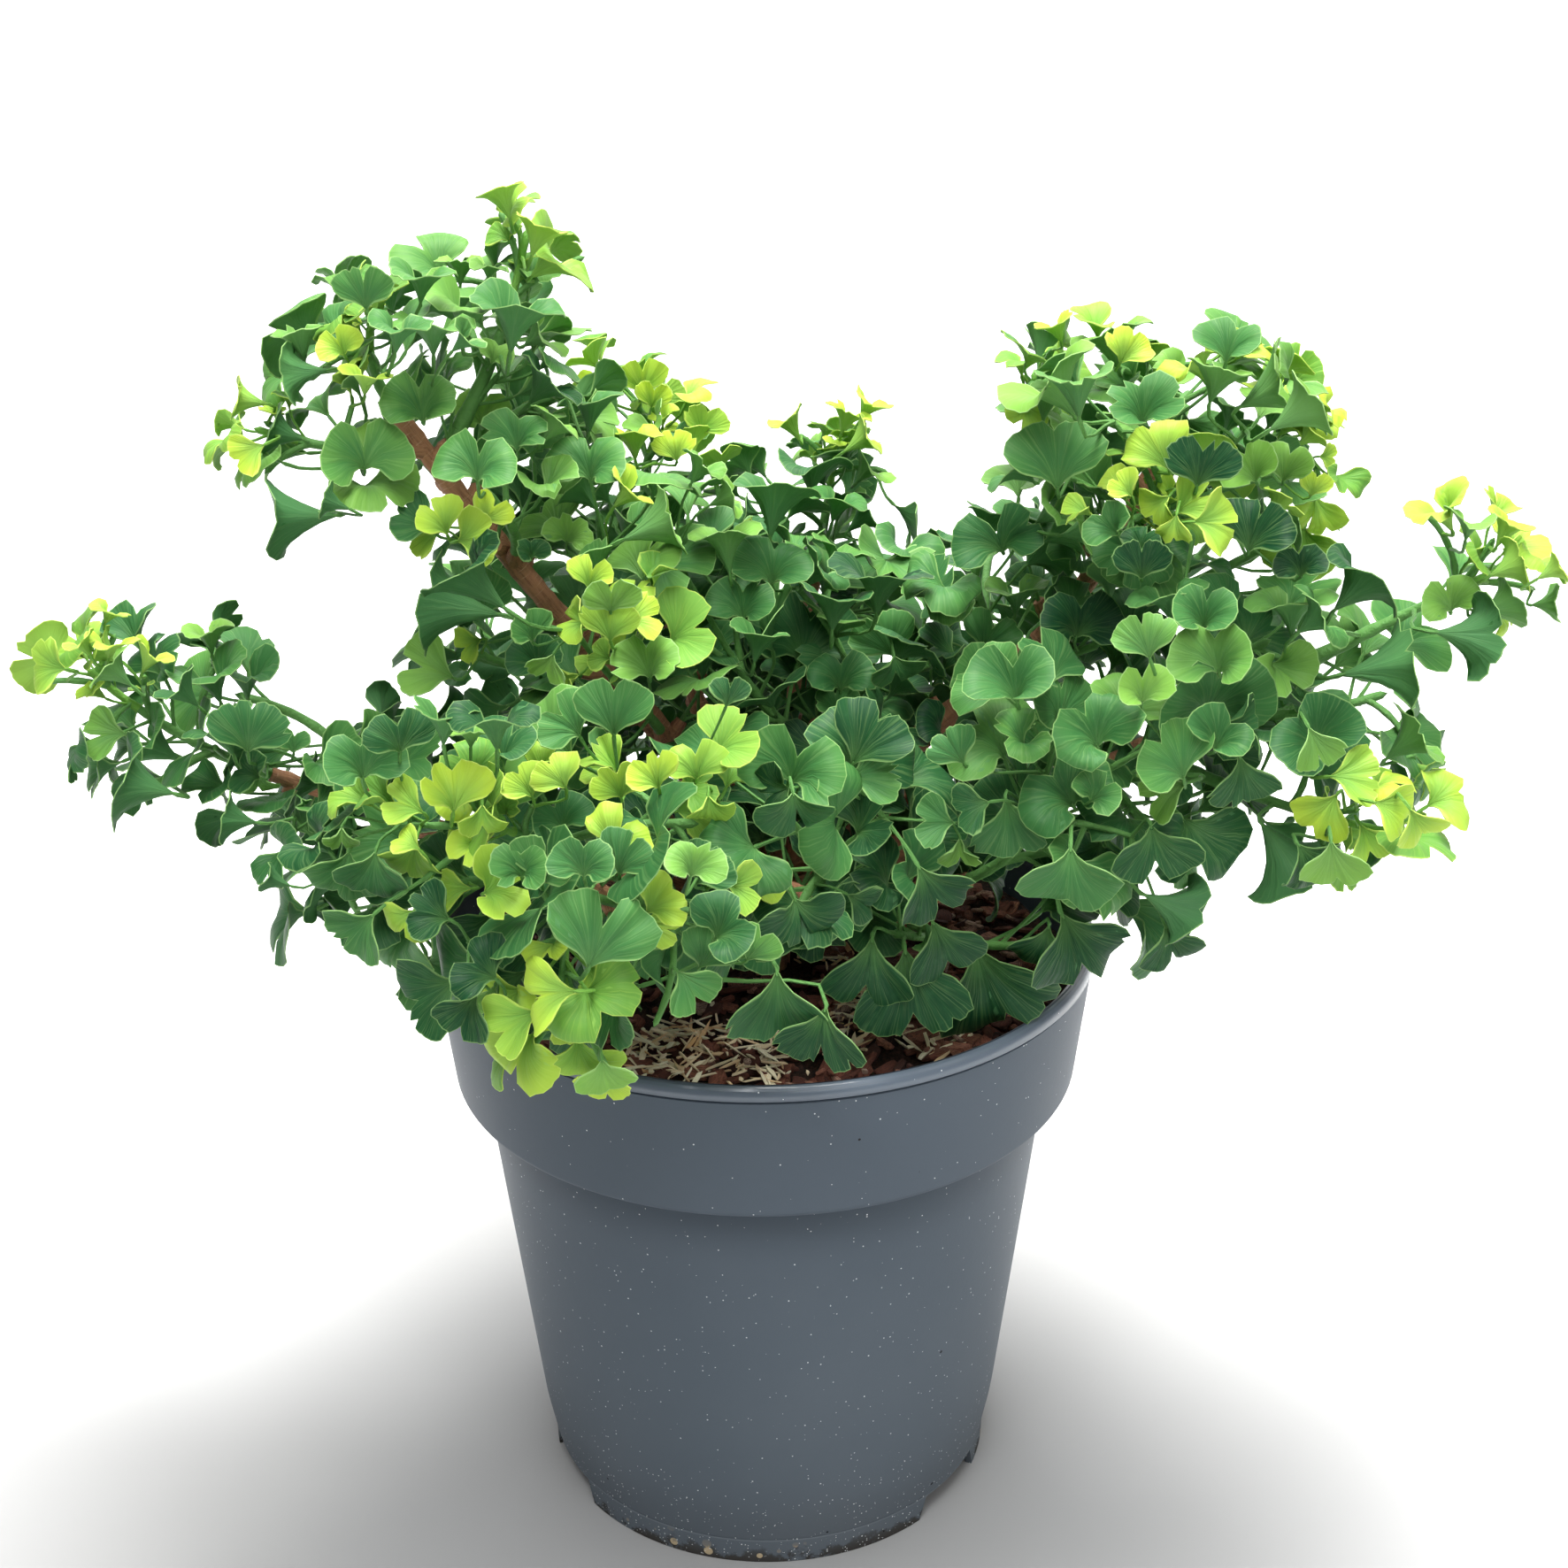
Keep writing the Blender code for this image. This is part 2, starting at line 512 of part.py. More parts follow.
def blade_point(leaf, u, v):
    """Point of the blade's middle surface, u across the fan and v from the stalk to the rim."""
    reach = v * blade_reach(leaf, u)
    part = reach / leaf.radius
    slope = leaf.cone + 0.5 * leaf.flare * part
    turn = u * leaf.spread / math.sin(leaf.cone)
    side = leaf.rib.cross(leaf.face)
    axis = math.cos(leaf.cone) * leaf.rib + math.sin(leaf.cone) * leaf.face
    across = math.sin(leaf.cone) * leaf.rib - math.cos(leaf.cone) * leaf.face
    spoke = math.cos(turn) * across + math.sin(turn) * side
    outward = math.cos(slope) * spoke - math.sin(slope) * axis
    wave = leaf.ruffle * part ** 2 * math.sin(leaf.waves * u + leaf.phase)
    point = leaf.joint + reach * (math.cos(slope) * axis + math.sin(slope) * spoke)
    return point + leaf.radius * wave * outward - leaf.radius * leaf.sag * part ** 2 * leaf.face


def leaf_shell(leaf, thickness, bare_stalk):
    """Closed shell of stalk and blade, with the same triangles on both faces."""
    side = leaf.rib.cross(leaf.face)
    heading = (leaf.joint - leaf.root).normalized()
    foot_side = (side - side.dot(heading) * heading).normalized() * STALK_WIDTH / 2
    side *= STALK_WIDTH / 2
    foot = leaf.root + bare_stalk * heading
    line = [foot - foot_side, leaf.joint - side]
    line += [blade_point(leaf, u, 1) for u in BLADE_RIM]
    line += [leaf.joint + side, foot + foot_side]
    count = len(line)
    notch_point = 2 + len(BLADE_RIM) // 2
    right = count - 2
    faces = [(0, 1, count - 1), (1, right, count - 1), (1, notch_point, right)]
    faces += [(1, i, i + 1) for i in range(2, notch_point)]
    faces += [(right, i, i + 1) for i in range(notch_point, right - 1)]
    normals = [Vector() for _ in line]
    for face in faces:
        a, b, c = [line[i] for i in face]
        for corner in face:
            normals[corner] += (b - a).cross(c - a)
    points = []
    for height in (thickness / 2, -thickness / 2):
        points += [point + height * normal.normalized() for point, normal in zip(line, normals)]
    triangles = faces + [(c + count, b + count, a + count) for a, b, c in faces]
    for i in range(count):
        j = (i + 1) % count
        triangles += [(i, i + count, j), (j, i + count, j + count)]
    return points, triangles


def leaf_body(leaf):
    bm = bmesh.new()
    points, triangles = leaf_shell(leaf, BLADE_THICKNESS, STALK_ROOT)
    verts = [bm.verts.new(point) for point in points]
    for triangle in triangles:
        bm.faces.new([verts[i] for i in triangle])
    return bm


# Room for each leaf
def solid_of(points, triangles):
    centre = sum(points, Vector()) / len(points)
    reach = max((point - centre).length for point in points)
    return Solid(centre, reach, BVHTree.FromPolygons(points, triangles))


def solid_of_mesh(bm):
    bm.verts.index_update()
    points = [vert.co.copy() for vert in bm.verts]
    return solid_of(points, [[vert.index for vert in face.verts] for face in bm.faces])


def is_clear(solid, others):
    for other in others:
        near = (solid.centre - other.centre).length < solid.reach + other.reach
        if near and solid.tree.overlap(other.tree):
            return False
    return True


def grow_leaf(rng, start, along, turn, lift, radius, stalk, young):
    """Draw one leaf at a point of a twig, leaving it in the given turn about the twig."""
    level, steep = frame_across(along)
    sideways = math.cos(turn) * level + math.sin(turn) * steep
    heading = (math.cos(lift) * along + math.sin(lift) * sideways + 0.18 * UP).normalized()
    joint = start + stalk * rng.uniform(0.8, 1.25) * heading
    outward = joint - CROWN_CENTRE
    outward.z *= 0.35
    outward.normalize()
    high = min(max((joint.z - CROWN_LOW) / CROWN_DEPTH, 0), 1)
    droop = 0 if young else rng.uniform(0.0, 0.5) * (1 - 0.7 * high)
    rib = (heading - droop * UP).normalized()
    jitter = Vector((rng.uniform(-1, 1), rng.uniform(-1, 1), rng.uniform(-1, 1)))
    face = 0.7 * UP + (0.95 - 0.4 * high) * outward + 0.4 * jitter - 0.35 * along
    face -= face.dot(rib) * rib
    if face.length < 0.15:
        face = steep - steep.dot(rib) * rib
    face.normalize()
    kind = rng.random()
    form = OPEN_FAN
    if kind < (0.6 if young else 0.25 + 0.3 * high):
        form = FUNNEL
    elif kind < 0.72:
        form = CUP
    cone, flare, spread = [math.radians(rng.uniform(*limits)) for limits in form]
    return Leaf(root=start, joint=joint, rib=rib, face=face, radius=radius * rng.uniform(0.85, 1.12),
                spread=spread, cone=cone, flare=flare, sag=rng.uniform(0, 0.12),
                ruffle=rng.uniform(0.02, 0.06), waves=rng.uniform(3.5, 6.5),
                phase=rng.uniform(0, math.tau), notch=rng.uniform(0.28, 0.46))


def leaves_along(shoot, first, last, count, young, solids):
    """Leaves on a golden-angle spiral up a twig, each drawn again until it stands clear."""
    rng = shoot.rng
    radius = shoot.size * (YOUNG_BLADE_RADIUS if young else BLADE_RADIUS)
    stalk = shoot.size * (YOUNG_STALK_LENGTH if young else STALK_LENGTH)
    phase = rng.uniform(0, math.tau)
    grown = []
    for index in range(count):
        share = first + (last - first) * (index + 0.5) / count
        start = shoot.path(share)
        along = heading_at(shoot.path, share)
        for attempt in range(ATTEMPTS):
            turn = phase + index * GOLDEN_ANGLE + 0.12 * attempt * rng.uniform(-1, 1)
            lift = math.radians(66 - 30 * share ** 2) + rng.uniform(-0.2, 0.2) - 0.02 * attempt
            leaf = grow_leaf(rng, start, along, turn, lift, radius, stalk, young)
            if is_clear(solid_of(*leaf_shell(leaf, BLADE_THICKNESS + LEAF_CLEARANCE, BARE_STALK)), solids):
                solids.append(solid_of(*leaf_shell(leaf, BLADE_THICKNESS, BARE_STALK)))
                grown.append(leaf)
                break
    return grown


# Sprays
def arc(start, heading, end):
    """A curve that leaves the start along a heading and bends over to the end."""
    control = start + 0.5 * (end - start).length * heading
    return lambda share: start.lerp(control, share).lerp(control.lerp(end, share), share)


def heading_at(path, share):
    return (path(share + 0.01) - path(share - 0.01)).normalized()


def twig(shoot, first, last, thick, thin, pointed):
    shares = [first + (last - first) * step / TWIG_STEPS for step in range(TWIG_STEPS + 1)]
    points = [shoot.path(share) for share in shares]
    headings = [heading_at(shoot.path, share) for share in shares]
    radii = [thick + (thin - thick) * step / TWIG_STEPS for step in range(TWIG_STEPS + 1)]
    return tube(points, headings, radii, TWIG_SIDES, pointed)


def shoots_of(number, spray):
    """The shoots of a spray, the first one from its spur and the others forking from that."""
    wood, heading, length = spur_of(spray)
    size = SPRAYS[spray][2]
    shoots = []
    for index, (tip, leaves, young) in enumerate(SPRAYS[spray][3]):
        start = wood + (length + GAP) * heading
        if shoots:
            start = shoots[0].path(FORK)
            heading = (Vector(tip) - start).normalized() + 0.4 * heading_at(shoots[0].path, FORK)
            heading.normalize()
        path = arc(start, heading, Vector(tip))
        rng = random.Random(100 * number + index)
        shoots.append(Shoot(spray, path, rng, size, leaves, young, YOUNG_FROM if young else 1.0))
    return shoots


def make_sprays(green, lime, parent, solids):
    shoots = [shoot for number, spray in enumerate(SPRAYS) for shoot in shoots_of(number, spray)]
    bodies = {spray: [] for spray in SPRAYS}
    for shoot in shoots:
        thick = TWIG_RADIUS * (FORK_THINNING if bodies[shoot.name] else 1)
        stem = twig(shoot, 0, shoot.close, thick, TWIG_TIP_RADIUS, not shoot.young)
        solids.append(solid_of_mesh(stem))
        bodies[shoot.name].append(stem)
    for shoot in shoots:
        leaves = leaves_along(shoot, 0.25, shoot.close - 0.04, shoot.leaves, False, solids)
        bodies[shoot.name] += [leaf_body(leaf) for leaf in leaves]
        if shoot.young:
            make_young(shoot, lime, parent, solids)
    for shoot in shoots:
        if bodies.get(shoot.name):
            stem, *rest = bodies.pop(shoot.name)
            place("spray_" + shoot.name, combined("UNION", stem, rest), green, parent, shoot.path(0), 40)


def make_young(shoot, material, parent, solids):
    """The soft growing tip of a shoot, just past the end of its green twig."""
    length = (shoot.path(1) - shoot.path(shoot.close)).length
    first = shoot.close + GAP / length * (1 - shoot.close)
    stem = twig(shoot, first, 1, TWIG_TIP_RADIUS, TWIG_TIP_RADIUS - 0.0002, True)
    solids.append(solid_of_mesh(stem))
    leaves = leaves_along(shoot, first + 0.03, 1.0, shoot.young, True, solids)
    bodies = [leaf_body(leaf) for leaf in leaves]
    place("young_" + shoot.name, combined("UNION", stem, bodies), material, parent, shoot.path(first), 40)


def build():
    clear_scene()
    root = bpy.data.objects.new("ginkgo_bonsai", None)
    bpy.context.collection.objects.link(root)
    make_pot(paint("grey_plastic", (0.090, 0.110, 0.133), 0.42), root)
    make_soil(paint("potting_soil", (0.030, 0.018, 0.011), 0.95), root)
    mulch = make_mulch(paint("bark_mulch", (0.130, 0.052, 0.030), 0.9), root)
    wood = make_wood(paint("ginkgo_bark", (0.150, 0.070, 0.040), 0.8), root)
    pot = solid_of_mesh(turned(POT_GUARD, POT_SEGMENTS))
    green = paint("mature_leaf", (0.052, 0.175, 0.080), 0.5)
    lime = paint("young_leaf", (0.300, 0.560, 0.060), 0.5)
    make_sprays(green, lime, root, [pot, mulch, wood])


build()
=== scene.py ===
import math
import random
from collections import namedtuple

import bmesh
import bpy
import numpy as np
from mathutils import Matrix, Vector
from mathutils.bvhtree import BVHTree


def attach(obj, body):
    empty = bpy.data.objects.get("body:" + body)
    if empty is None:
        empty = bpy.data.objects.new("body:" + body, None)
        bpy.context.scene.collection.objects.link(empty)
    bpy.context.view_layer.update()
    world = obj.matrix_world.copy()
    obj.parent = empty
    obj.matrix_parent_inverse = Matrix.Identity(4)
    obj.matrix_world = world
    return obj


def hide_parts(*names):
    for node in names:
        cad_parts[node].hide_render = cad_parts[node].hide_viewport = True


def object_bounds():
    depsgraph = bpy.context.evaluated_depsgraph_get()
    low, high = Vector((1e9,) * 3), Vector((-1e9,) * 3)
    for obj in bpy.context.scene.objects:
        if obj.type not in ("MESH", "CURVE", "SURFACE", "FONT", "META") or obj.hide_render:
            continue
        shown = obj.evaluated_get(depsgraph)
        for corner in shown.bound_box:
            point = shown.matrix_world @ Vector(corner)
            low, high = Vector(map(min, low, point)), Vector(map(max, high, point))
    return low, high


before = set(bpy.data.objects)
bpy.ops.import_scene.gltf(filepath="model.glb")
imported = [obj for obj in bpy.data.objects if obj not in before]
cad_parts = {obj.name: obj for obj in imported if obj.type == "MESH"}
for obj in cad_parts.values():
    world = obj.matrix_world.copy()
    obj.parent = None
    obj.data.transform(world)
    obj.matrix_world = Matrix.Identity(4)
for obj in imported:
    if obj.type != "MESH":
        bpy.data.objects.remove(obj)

CAD_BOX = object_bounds()


# The view. The camera stands a metre in front of the plant and looks down on it a little, as in the
# photograph. The plant stands on a sheet of pale paper that curves up behind it, under a broad soft
# lamp overhead and another high in front, with weak fill from the right and the back.
# A pool of shadow is painted on the paper round the pot, darkest in front of it.
PHOTO_SIDE = 1772
FOCAL_LENGTH = 2500
SENSOR = 36
EYE = Vector((0.0102, -0.9628, 0.7651))
LOOKING_DOWN = 0.3944
ROLL = -0.0076

# The floor: how far it lies flat behind the plant and how it curves up, its painted shade in front of
# and beside the pot and its own grey far from it, between which radii about the painted shade pool's
# centre it turns pale, and from which depth to which the painted shade ends and the paper's glow sets in
FLOOR_REACH = 2.2
SWEEP_RADIUS = 1.2
SWEEP_STEPS = 12
FRONT_PAINTED_SHADE = (0.38, 0.38, 0.38)
SIDE_PAINTED_SHADE = (0.70, 0.70, 0.70)
FAR_GREY = (0.86, 0.86, 0.86)
PAINTED_SHADE_CENTRE = (-0.06, -0.10)
PALE_BETWEEN = (0.12, 0.90)
PAINTED_SHADE_ENDS = (-0.04, 0.16)
GLOW_SETS_IN = (-0.75, -0.15)
PAPER_GLOW = 0.7

# The lamps: place, width, watts and colour. All aim at the middle of the plant
AIM = Vector((0, 0, 0.3))
WORLD_LIGHT = 0.11
LAMPS = {
    "overhead": ((0.13, 0.10, 2.4), 1.1, 78, (1.0, 0.99, 0.96)),
    "high_front": ((-0.25, -1.35, 2.5), 1.1, 44, (0.98, 0.99, 1.0)),
    "low_front": ((0.8, -1.8, 1.6), 1.2, 11, (1.0, 1.0, 1.0)),
    "right_fill": ((2.3, -0.8, 1.7), 1.4, 6, (1.0, 0.99, 0.96)),
    "back_fill": ((-0.4, 2.2, 2.1), 1.4, 6, (1.0, 1.0, 1.0)),
}

lens = bpy.data.cameras.new("camera")
lens.sensor_width = SENSOR
lens.lens = FOCAL_LENGTH / PHOTO_SIDE * SENSOR
camera = bpy.data.objects.new("camera", lens)
camera.matrix_world = (Matrix.Translation(EYE) @ Matrix.Rotation(math.pi / 2 - LOOKING_DOWN, 4, "X")
                       @ Matrix.Rotation(ROLL, 4, "Z"))
bpy.context.scene.collection.objects.link(camera)
bpy.context.scene.camera = camera
bpy.context.scene.view_settings.view_transform = "Standard"


class Wire:
    """An output in a finish's node tree. Sums, products and the like of wires add Math nodes."""

    def __init__(self, tree, socket=None):
        self.tree = tree
        self.socket = socket

    def node(self, kind, settings=None, values=None, out=0):
        """Add any node: its settings are set first, then its sockets take numbers or wires."""
        node = self.tree.nodes.new(kind)
        for name, value in (settings or {}).items():
            if name == "stops":
                ramp = node.color_ramp
                while len(ramp.elements) < len(value):
                    ramp.elements.new(1.0)
                for stop, (position, colour) in zip(ramp.elements, value):
                    stop.position = position
                    stop.color = (*colour, 1)
            else:
                setattr(node, name, value)
        self.feed(node, values or {})
        return Wire(self.tree, node.outputs[out])

    def feed(self, node, values):
        """Give a node's sockets numbers or wires, by name or number."""
        for name, value in values.items():
            if isinstance(value, Wire):
                self.tree.links.new(value.socket, node.inputs[name])
            else:
                node.inputs[name].default_value = value

    def math(self, operation, *values):
        """A Math node of an operation."""
        return self.node("ShaderNodeMath", {"operation": operation}, dict(enumerate(values)))

    def __add__(self, other):
        return self.math("ADD", self, other)

    def __radd__(self, other):
        return self.math("ADD", other, self)

    def __sub__(self, other):
        return self.math("SUBTRACT", self, other)

    def __rsub__(self, other):
        return self.math("SUBTRACT", other, self)

    def __mul__(self, other):
        return self.math("MULTIPLY", self, other)

    def __rmul__(self, other):
        return self.math("MULTIPLY", other, self)

    def __truediv__(self, other):
        return self.math("DIVIDE", self, other)

    def __gt__(self, other):
        return self.math("GREATER_THAN", self, other)

    def __lt__(self, other):
        return self.math("LESS_THAN", self, other)

    def noise(self, scale, detail=3.0, roughness=0.55):
        """Noise at this vector, from 0 to 1."""
        values = {"Vector": self, "Scale": scale, "Detail": detail, "Roughness": roughness}
        return self.node("ShaderNodeTexNoise", {}, values)

    def ease(self, low, high):
        """0 below the low value, 1 above the high one, and a smooth climb between them."""
        settings = {"interpolation_type": "SMOOTHSTEP"}
        return self.node("ShaderNodeMapRange", settings, {"Value": self, "From Min": low, "From Max": high})

    def blend(self, colour, other):
        """A colour where this wire is 0, and the other one where it is 1."""
        values = {0: self, 6: opaque(colour), 7: opaque(other)}
        return self.node("ShaderNodeMix", {"data_type": "RGBA", "clamp_factor": True}, values, 2)

    def parts(self):
        """The three numbers of a vector."""
        node = self.tree.nodes.new("ShaderNodeSeparateXYZ")
        self.tree.links.new(self.socket, node.inputs[0])
        return [Wire(self.tree, output) for output in node.outputs]

    def joined(self, y, z):
        """A vector of this number and two more."""
        return self.node("ShaderNodeCombineXYZ", {}, {0: self, 1: y, 2: z})

    def bump(self, distance):
        """A normal that leans with this height, which is given in units of the distance."""
        return self.node("ShaderNodeBump", {}, {"Height": self, "Distance": distance})


def opaque(colour):
    """A colour as a socket takes it: a wire as it is, three numbers with an alpha of 1."""
    return colour if isinstance(colour, Wire) else (*colour, 1)


def new_finish(name):
    """A material, a wire that its nodes start from, and its Principled shader."""
    material = bpy.data.materials.new(name)
    material.use_nodes = True
    return material, Wire(material.node_tree), material.node_tree.nodes["Principled BSDF"]


def make_sweep():
    """A floor that curves up into a backdrop behind the plant, with a shadow pool painted round the pot."""
    side = FLOOR_REACH * 3
    line = [(-side, 0.0), (FLOOR_REACH, 0.0)]
    for step in range(1, SWEEP_STEPS + 1):
        turn = step / SWEEP_STEPS * math.pi / 2
        line.append((FLOOR_REACH + SWEEP_RADIUS * math.sin(turn), SWEEP_RADIUS * (1 - math.cos(turn))))
    line.append((FLOOR_REACH + SWEEP_RADIUS, side))
    points = [(x, y, z) for x in (-side, side) for y, z in line]
    count = len(line)
    faces = [(i, i + 1, i + 1 + count, i + count) for i in range(count - 1)]
    mesh = bpy.data.meshes.new("floor")
    mesh.from_pydata(points, [], [face[::-1] for face in faces])
    mesh.shade_smooth()
    paper, start, shader = new_finish("floor_paper")
    east, north, _ = start.node("ShaderNodeTexCoord", out="Object").parts()
    # Painted shadow: the paper is grey round the pot, darkest in front of it, and its glow is left out there
    glows = north.ease(*GLOW_SETS_IN)
    near = north.ease(*PAINTED_SHADE_ENDS).blend(FRONT_PAINTED_SHADE, SIDE_PAINTED_SHADE)
    east = east - PAINTED_SHADE_CENTRE[0]
    north = north - PAINTED_SHADE_CENTRE[1]
    away = start.math("SQRT", east * east + north * north).ease(*PALE_BETWEEN)
    start.feed(shader, {"Base Color": away.blend(near, FAR_GREY), "Roughness": 0.9,
                        "Specular IOR Level": 0.1, "Emission Strength": PAPER_GLOW,
                        "Emission Color": (away * glows).blend((0, 0, 0), (1, 1, 1))})
    mesh.materials.append(paper)
    floor = bpy.data.objects.new("floor", mesh)
    bpy.context.scene.collection.objects.link(floor)


def make_lamps():
    """The lamps and the even light of the studio around them."""
    for name, (spot, width, power, colour) in LAMPS.items():
        light = bpy.data.lights.new(name, "AREA")
        light.size = width
        light.energy = power
        light.color = colour
        lamp = bpy.data.objects.new(name, light)
        lamp.location = spot
        lamp.rotation_euler = (AIM - Vector(spot)).to_track_quat("-Z", "Y").to_euler()
        bpy.context.scene.collection.objects.link(lamp)
    world = bpy.data.worlds.new("studio")
    world.use_nodes = True
    sky = world.node_tree.nodes["Background"]
    sky.inputs["Color"].default_value = (1, 1, 1, 1)
    sky.inputs["Strength"].default_value = WORLD_LIGHT
    bpy.context.scene.world = world


make_sweep()
make_lamps()


# The pot. A nursery container injection-moulded in blue-grey polypropylene: a thin tapering wall, a
# wide collar to lift it by, a rolled bead round the rim, and a foot ring with three notches that let
# water out from under the floor. It has the specks, scuffs and dirt of a season in the nursery.
RIM_RADIUS = 0.160
POT_HEIGHT = 0.2933
WALL = 0.0026
BEAD = 0.008
BEAD_LIP = 0.0022
COLLAR_BOTTOM = 0.2246
COLLAR_RADIUS = 0.1518
NECK_RADIUS = 0.1389
KINK_HEIGHT = 0.0368
KINK_RADIUS = 0.1174
FOOT_RADIUS = 0.1125
FOOT_HEIGHT = 0.0142
FOOT_RING = 0.0035
FLOOR = 0.0038
WELL_RADIUS = 0.034
WELL_FLARE = 0.004
NOTCH_HEIGHT = 0.0128
NOTCH_WIDTH = math.radians(25)
NOTCH_AZIMUTHS = (-155, -35, 85)
NOTCH_SLOPE = math.radians(1.6)
DRAIN_RADIUS = 0.005
DRAIN_CIRCLE = 0.075
DRAINS = 5
OVERCUT = 0.004
POT_SIDES = 128
DRAIN_SIDES = 24
CORNER_STEPS = 4
SATIN = {"Specular IOR Level": 0.16, "Coat Roughness": 0.16}
UP = Vector((0, 0, 1))

# Between which heights the finish changes: the dirt on the foot ends, the dusty foot of the wall ends,
# painted shade darkens the wall towards the collar, a painted shadow falls under the collar, the collar
# loses its specks, and the bead gets its sheen, its gloss and a painted highlight in a paler colour
DIRT_ENDS = (0.0, 0.017)
DUST_ENDS = (0.004, 0.075)
WALL_PAINTED_SHADE = (0.06, 0.28)
COLLAR_PAINTED_SHADOW = (0.185, 0.2242)
SPECKS_THIN_OUT = (0.20, 0.235)
SHEEN_STARTS = (0.2846, 0.2856)
GLOSS_STARTS = (0.2850, 0.2866)
BEAD_PAINTED_HIGHLIGHT = (0.2852, 0.2866)


def show(name, mesh, material, nodes, crease):
    """Put a mesh into the scene as a piece on the root body that stands for CAD nodes."""
    mesh.materials.append(material)
    mesh.shade_smooth()
    mesh.set_sharp_from_angle(angle=math.radians(crease))
    piece = bpy.data.objects.new(name, mesh)
    bpy.context.scene.collection.objects.link(piece)
    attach(piece, "root")
    if nodes:
        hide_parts(*nodes)


def inner_radius(height):
    """Radius of the pot's inside wall at a height above its floor."""
    if height > COLLAR_BOTTOM:
        share = (height - COLLAR_BOTTOM) / (POT_HEIGHT - BEAD - COLLAR_BOTTOM)
        return COLLAR_RADIUS - WALL + share * (RIM_RADIUS - BEAD_LIP - COLLAR_RADIUS)
    share = (height - KINK_HEIGHT) / (COLLAR_BOTTOM - KINK_HEIGHT)
    return KINK_RADIUS - WALL + share * (NECK_RADIUS - KINK_RADIUS)


def rounded(corner, before, after, size):
    """A corner of a profile eased into a curve that starts and ends a size away from it."""
    corner, before, after = Vector(corner), Vector(before), Vector(after)
    start = corner + size * (before - corner).normalized()
    end = corner + size * (after - corner).normalized()
    curve = []
    for step in range(CORNER_STEPS + 1):
        share = step / CORNER_STEPS
        curve.append(start.lerp(corner, share).lerp(corner.lerp(end, share), share))
    return [tuple(point) for point in curve]


def eased(corners):
    """A profile of corners, each with the size of its rounding, 0 for a sharp one."""
    line = [corners[0][0]]
    for (before, _), (corner, size), (after, _) in zip(corners, corners[1:], corners[2:]):
        line += rounded(corner, before, after, size) if size else [corner]
    return line + [corners[-1][0]]


def turned(profile, sides):
    """Turn a profile of (radius, height) points, from axis to axis, about Z."""
    bm = bmesh.new()
    line = [bm.verts.new((radius, 0, height)) for radius, height in profile]
    edges = [bm.edges.new(pair) for pair in zip(line, line[1:])]
    bmesh.ops.spin(bm, geom=line + edges, cent=(0, 0, 0), axis=(0, 0, 1), angle=math.tau,
                   steps=sides, use_merge=True, use_duplicate=False)
    bmesh.ops.remove_doubles(bm, verts=bm.verts, dist=1e-6)
    bmesh.ops.recalc_face_normals(bm, faces=bm.faces)
    return bm


def prism(low_corners, high_corners, bottom, top):
    """A body between a flat outline and another one above it."""
    bm = bmesh.new()
    low = [bm.verts.new((x, y, bottom)) for x, y in low_corners]
    high = [bm.verts.new((x, y, top)) for x, y in high_corners]
    bm.faces.new(low)
    bm.faces.new(high)
    for i, vert in enumerate(low):
        j = (i + 1) % len(low)
        bm.faces.new((vert, low[j], high[j], high[i]))
    bmesh.ops.recalc_face_normals(bm, faces=bm.faces)
    return bm


def pot_profile():
    """The pot's wall, from the middle of its underside, up outside and down inside to the floor."""
    top = FOOT_HEIGHT + FLOOR
    shoulder = COLLAR_BOTTOM + WALL
    under_bead = POT_HEIGHT - BEAD
    return eased([
        ((0, 0), 0), ((WELL_RADIUS, 0), 0.0008), ((WELL_RADIUS + WELL_FLARE, FOOT_HEIGHT), 0.001),
        ((FOOT_RADIUS - FOOT_RING - 0.0005, FOOT_HEIGHT), 0.001), ((FOOT_RADIUS - FOOT_RING, 0), 0.0005),
        ((FOOT_RADIUS, 0), 0.0008), ((FOOT_RADIUS + 0.0003, FOOT_HEIGHT - 0.0004), 0),
        ((FOOT_RADIUS, FOOT_HEIGHT), 0), ((FOOT_RADIUS + 0.0006, FOOT_HEIGHT + 0.0003), 0),
        ((KINK_RADIUS, KINK_HEIGHT), 0.006), ((NECK_RADIUS, COLLAR_BOTTOM), 0.0006),
        ((COLLAR_RADIUS - 0.0012, COLLAR_BOTTOM - 0.0006), 0.0008),
        ((COLLAR_RADIUS, COLLAR_BOTTOM + 0.0014), 0.0009),
        ((RIM_RADIUS - BEAD_LIP + 0.0006, under_bead - 0.0006), 0.0003),
        ((RIM_RADIUS - BEAD_LIP - 0.0008, under_bead + 0.0002), 0.0003),
        ((RIM_RADIUS - 0.0004, under_bead + 0.0012), 0.0006), ((RIM_RADIUS, POT_HEIGHT - 0.0036), 0.0032),
        ((RIM_RADIUS - 0.0032, POT_HEIGHT), 0.0030),
        ((RIM_RADIUS - BEAD_LIP - 0.0028, POT_HEIGHT - 0.0010), 0.0010),
        ((inner_radius(under_bead), under_bead), 0.002),
        ((inner_radius(shoulder), shoulder + 0.001), 0.001), ((inner_radius(COLLAR_BOTTOM), shoulder), 0.001),
        ((inner_radius(KINK_HEIGHT), KINK_HEIGHT), 0.003), ((FOOT_RADIUS - WALL, top), 0.001),
        ((WELL_RADIUS + WELL_FLARE - WALL, top), 0.001), ((WELL_RADIUS - WALL, FLOOR), 0.001),
        ((0, FLOOR), 0),
    ])


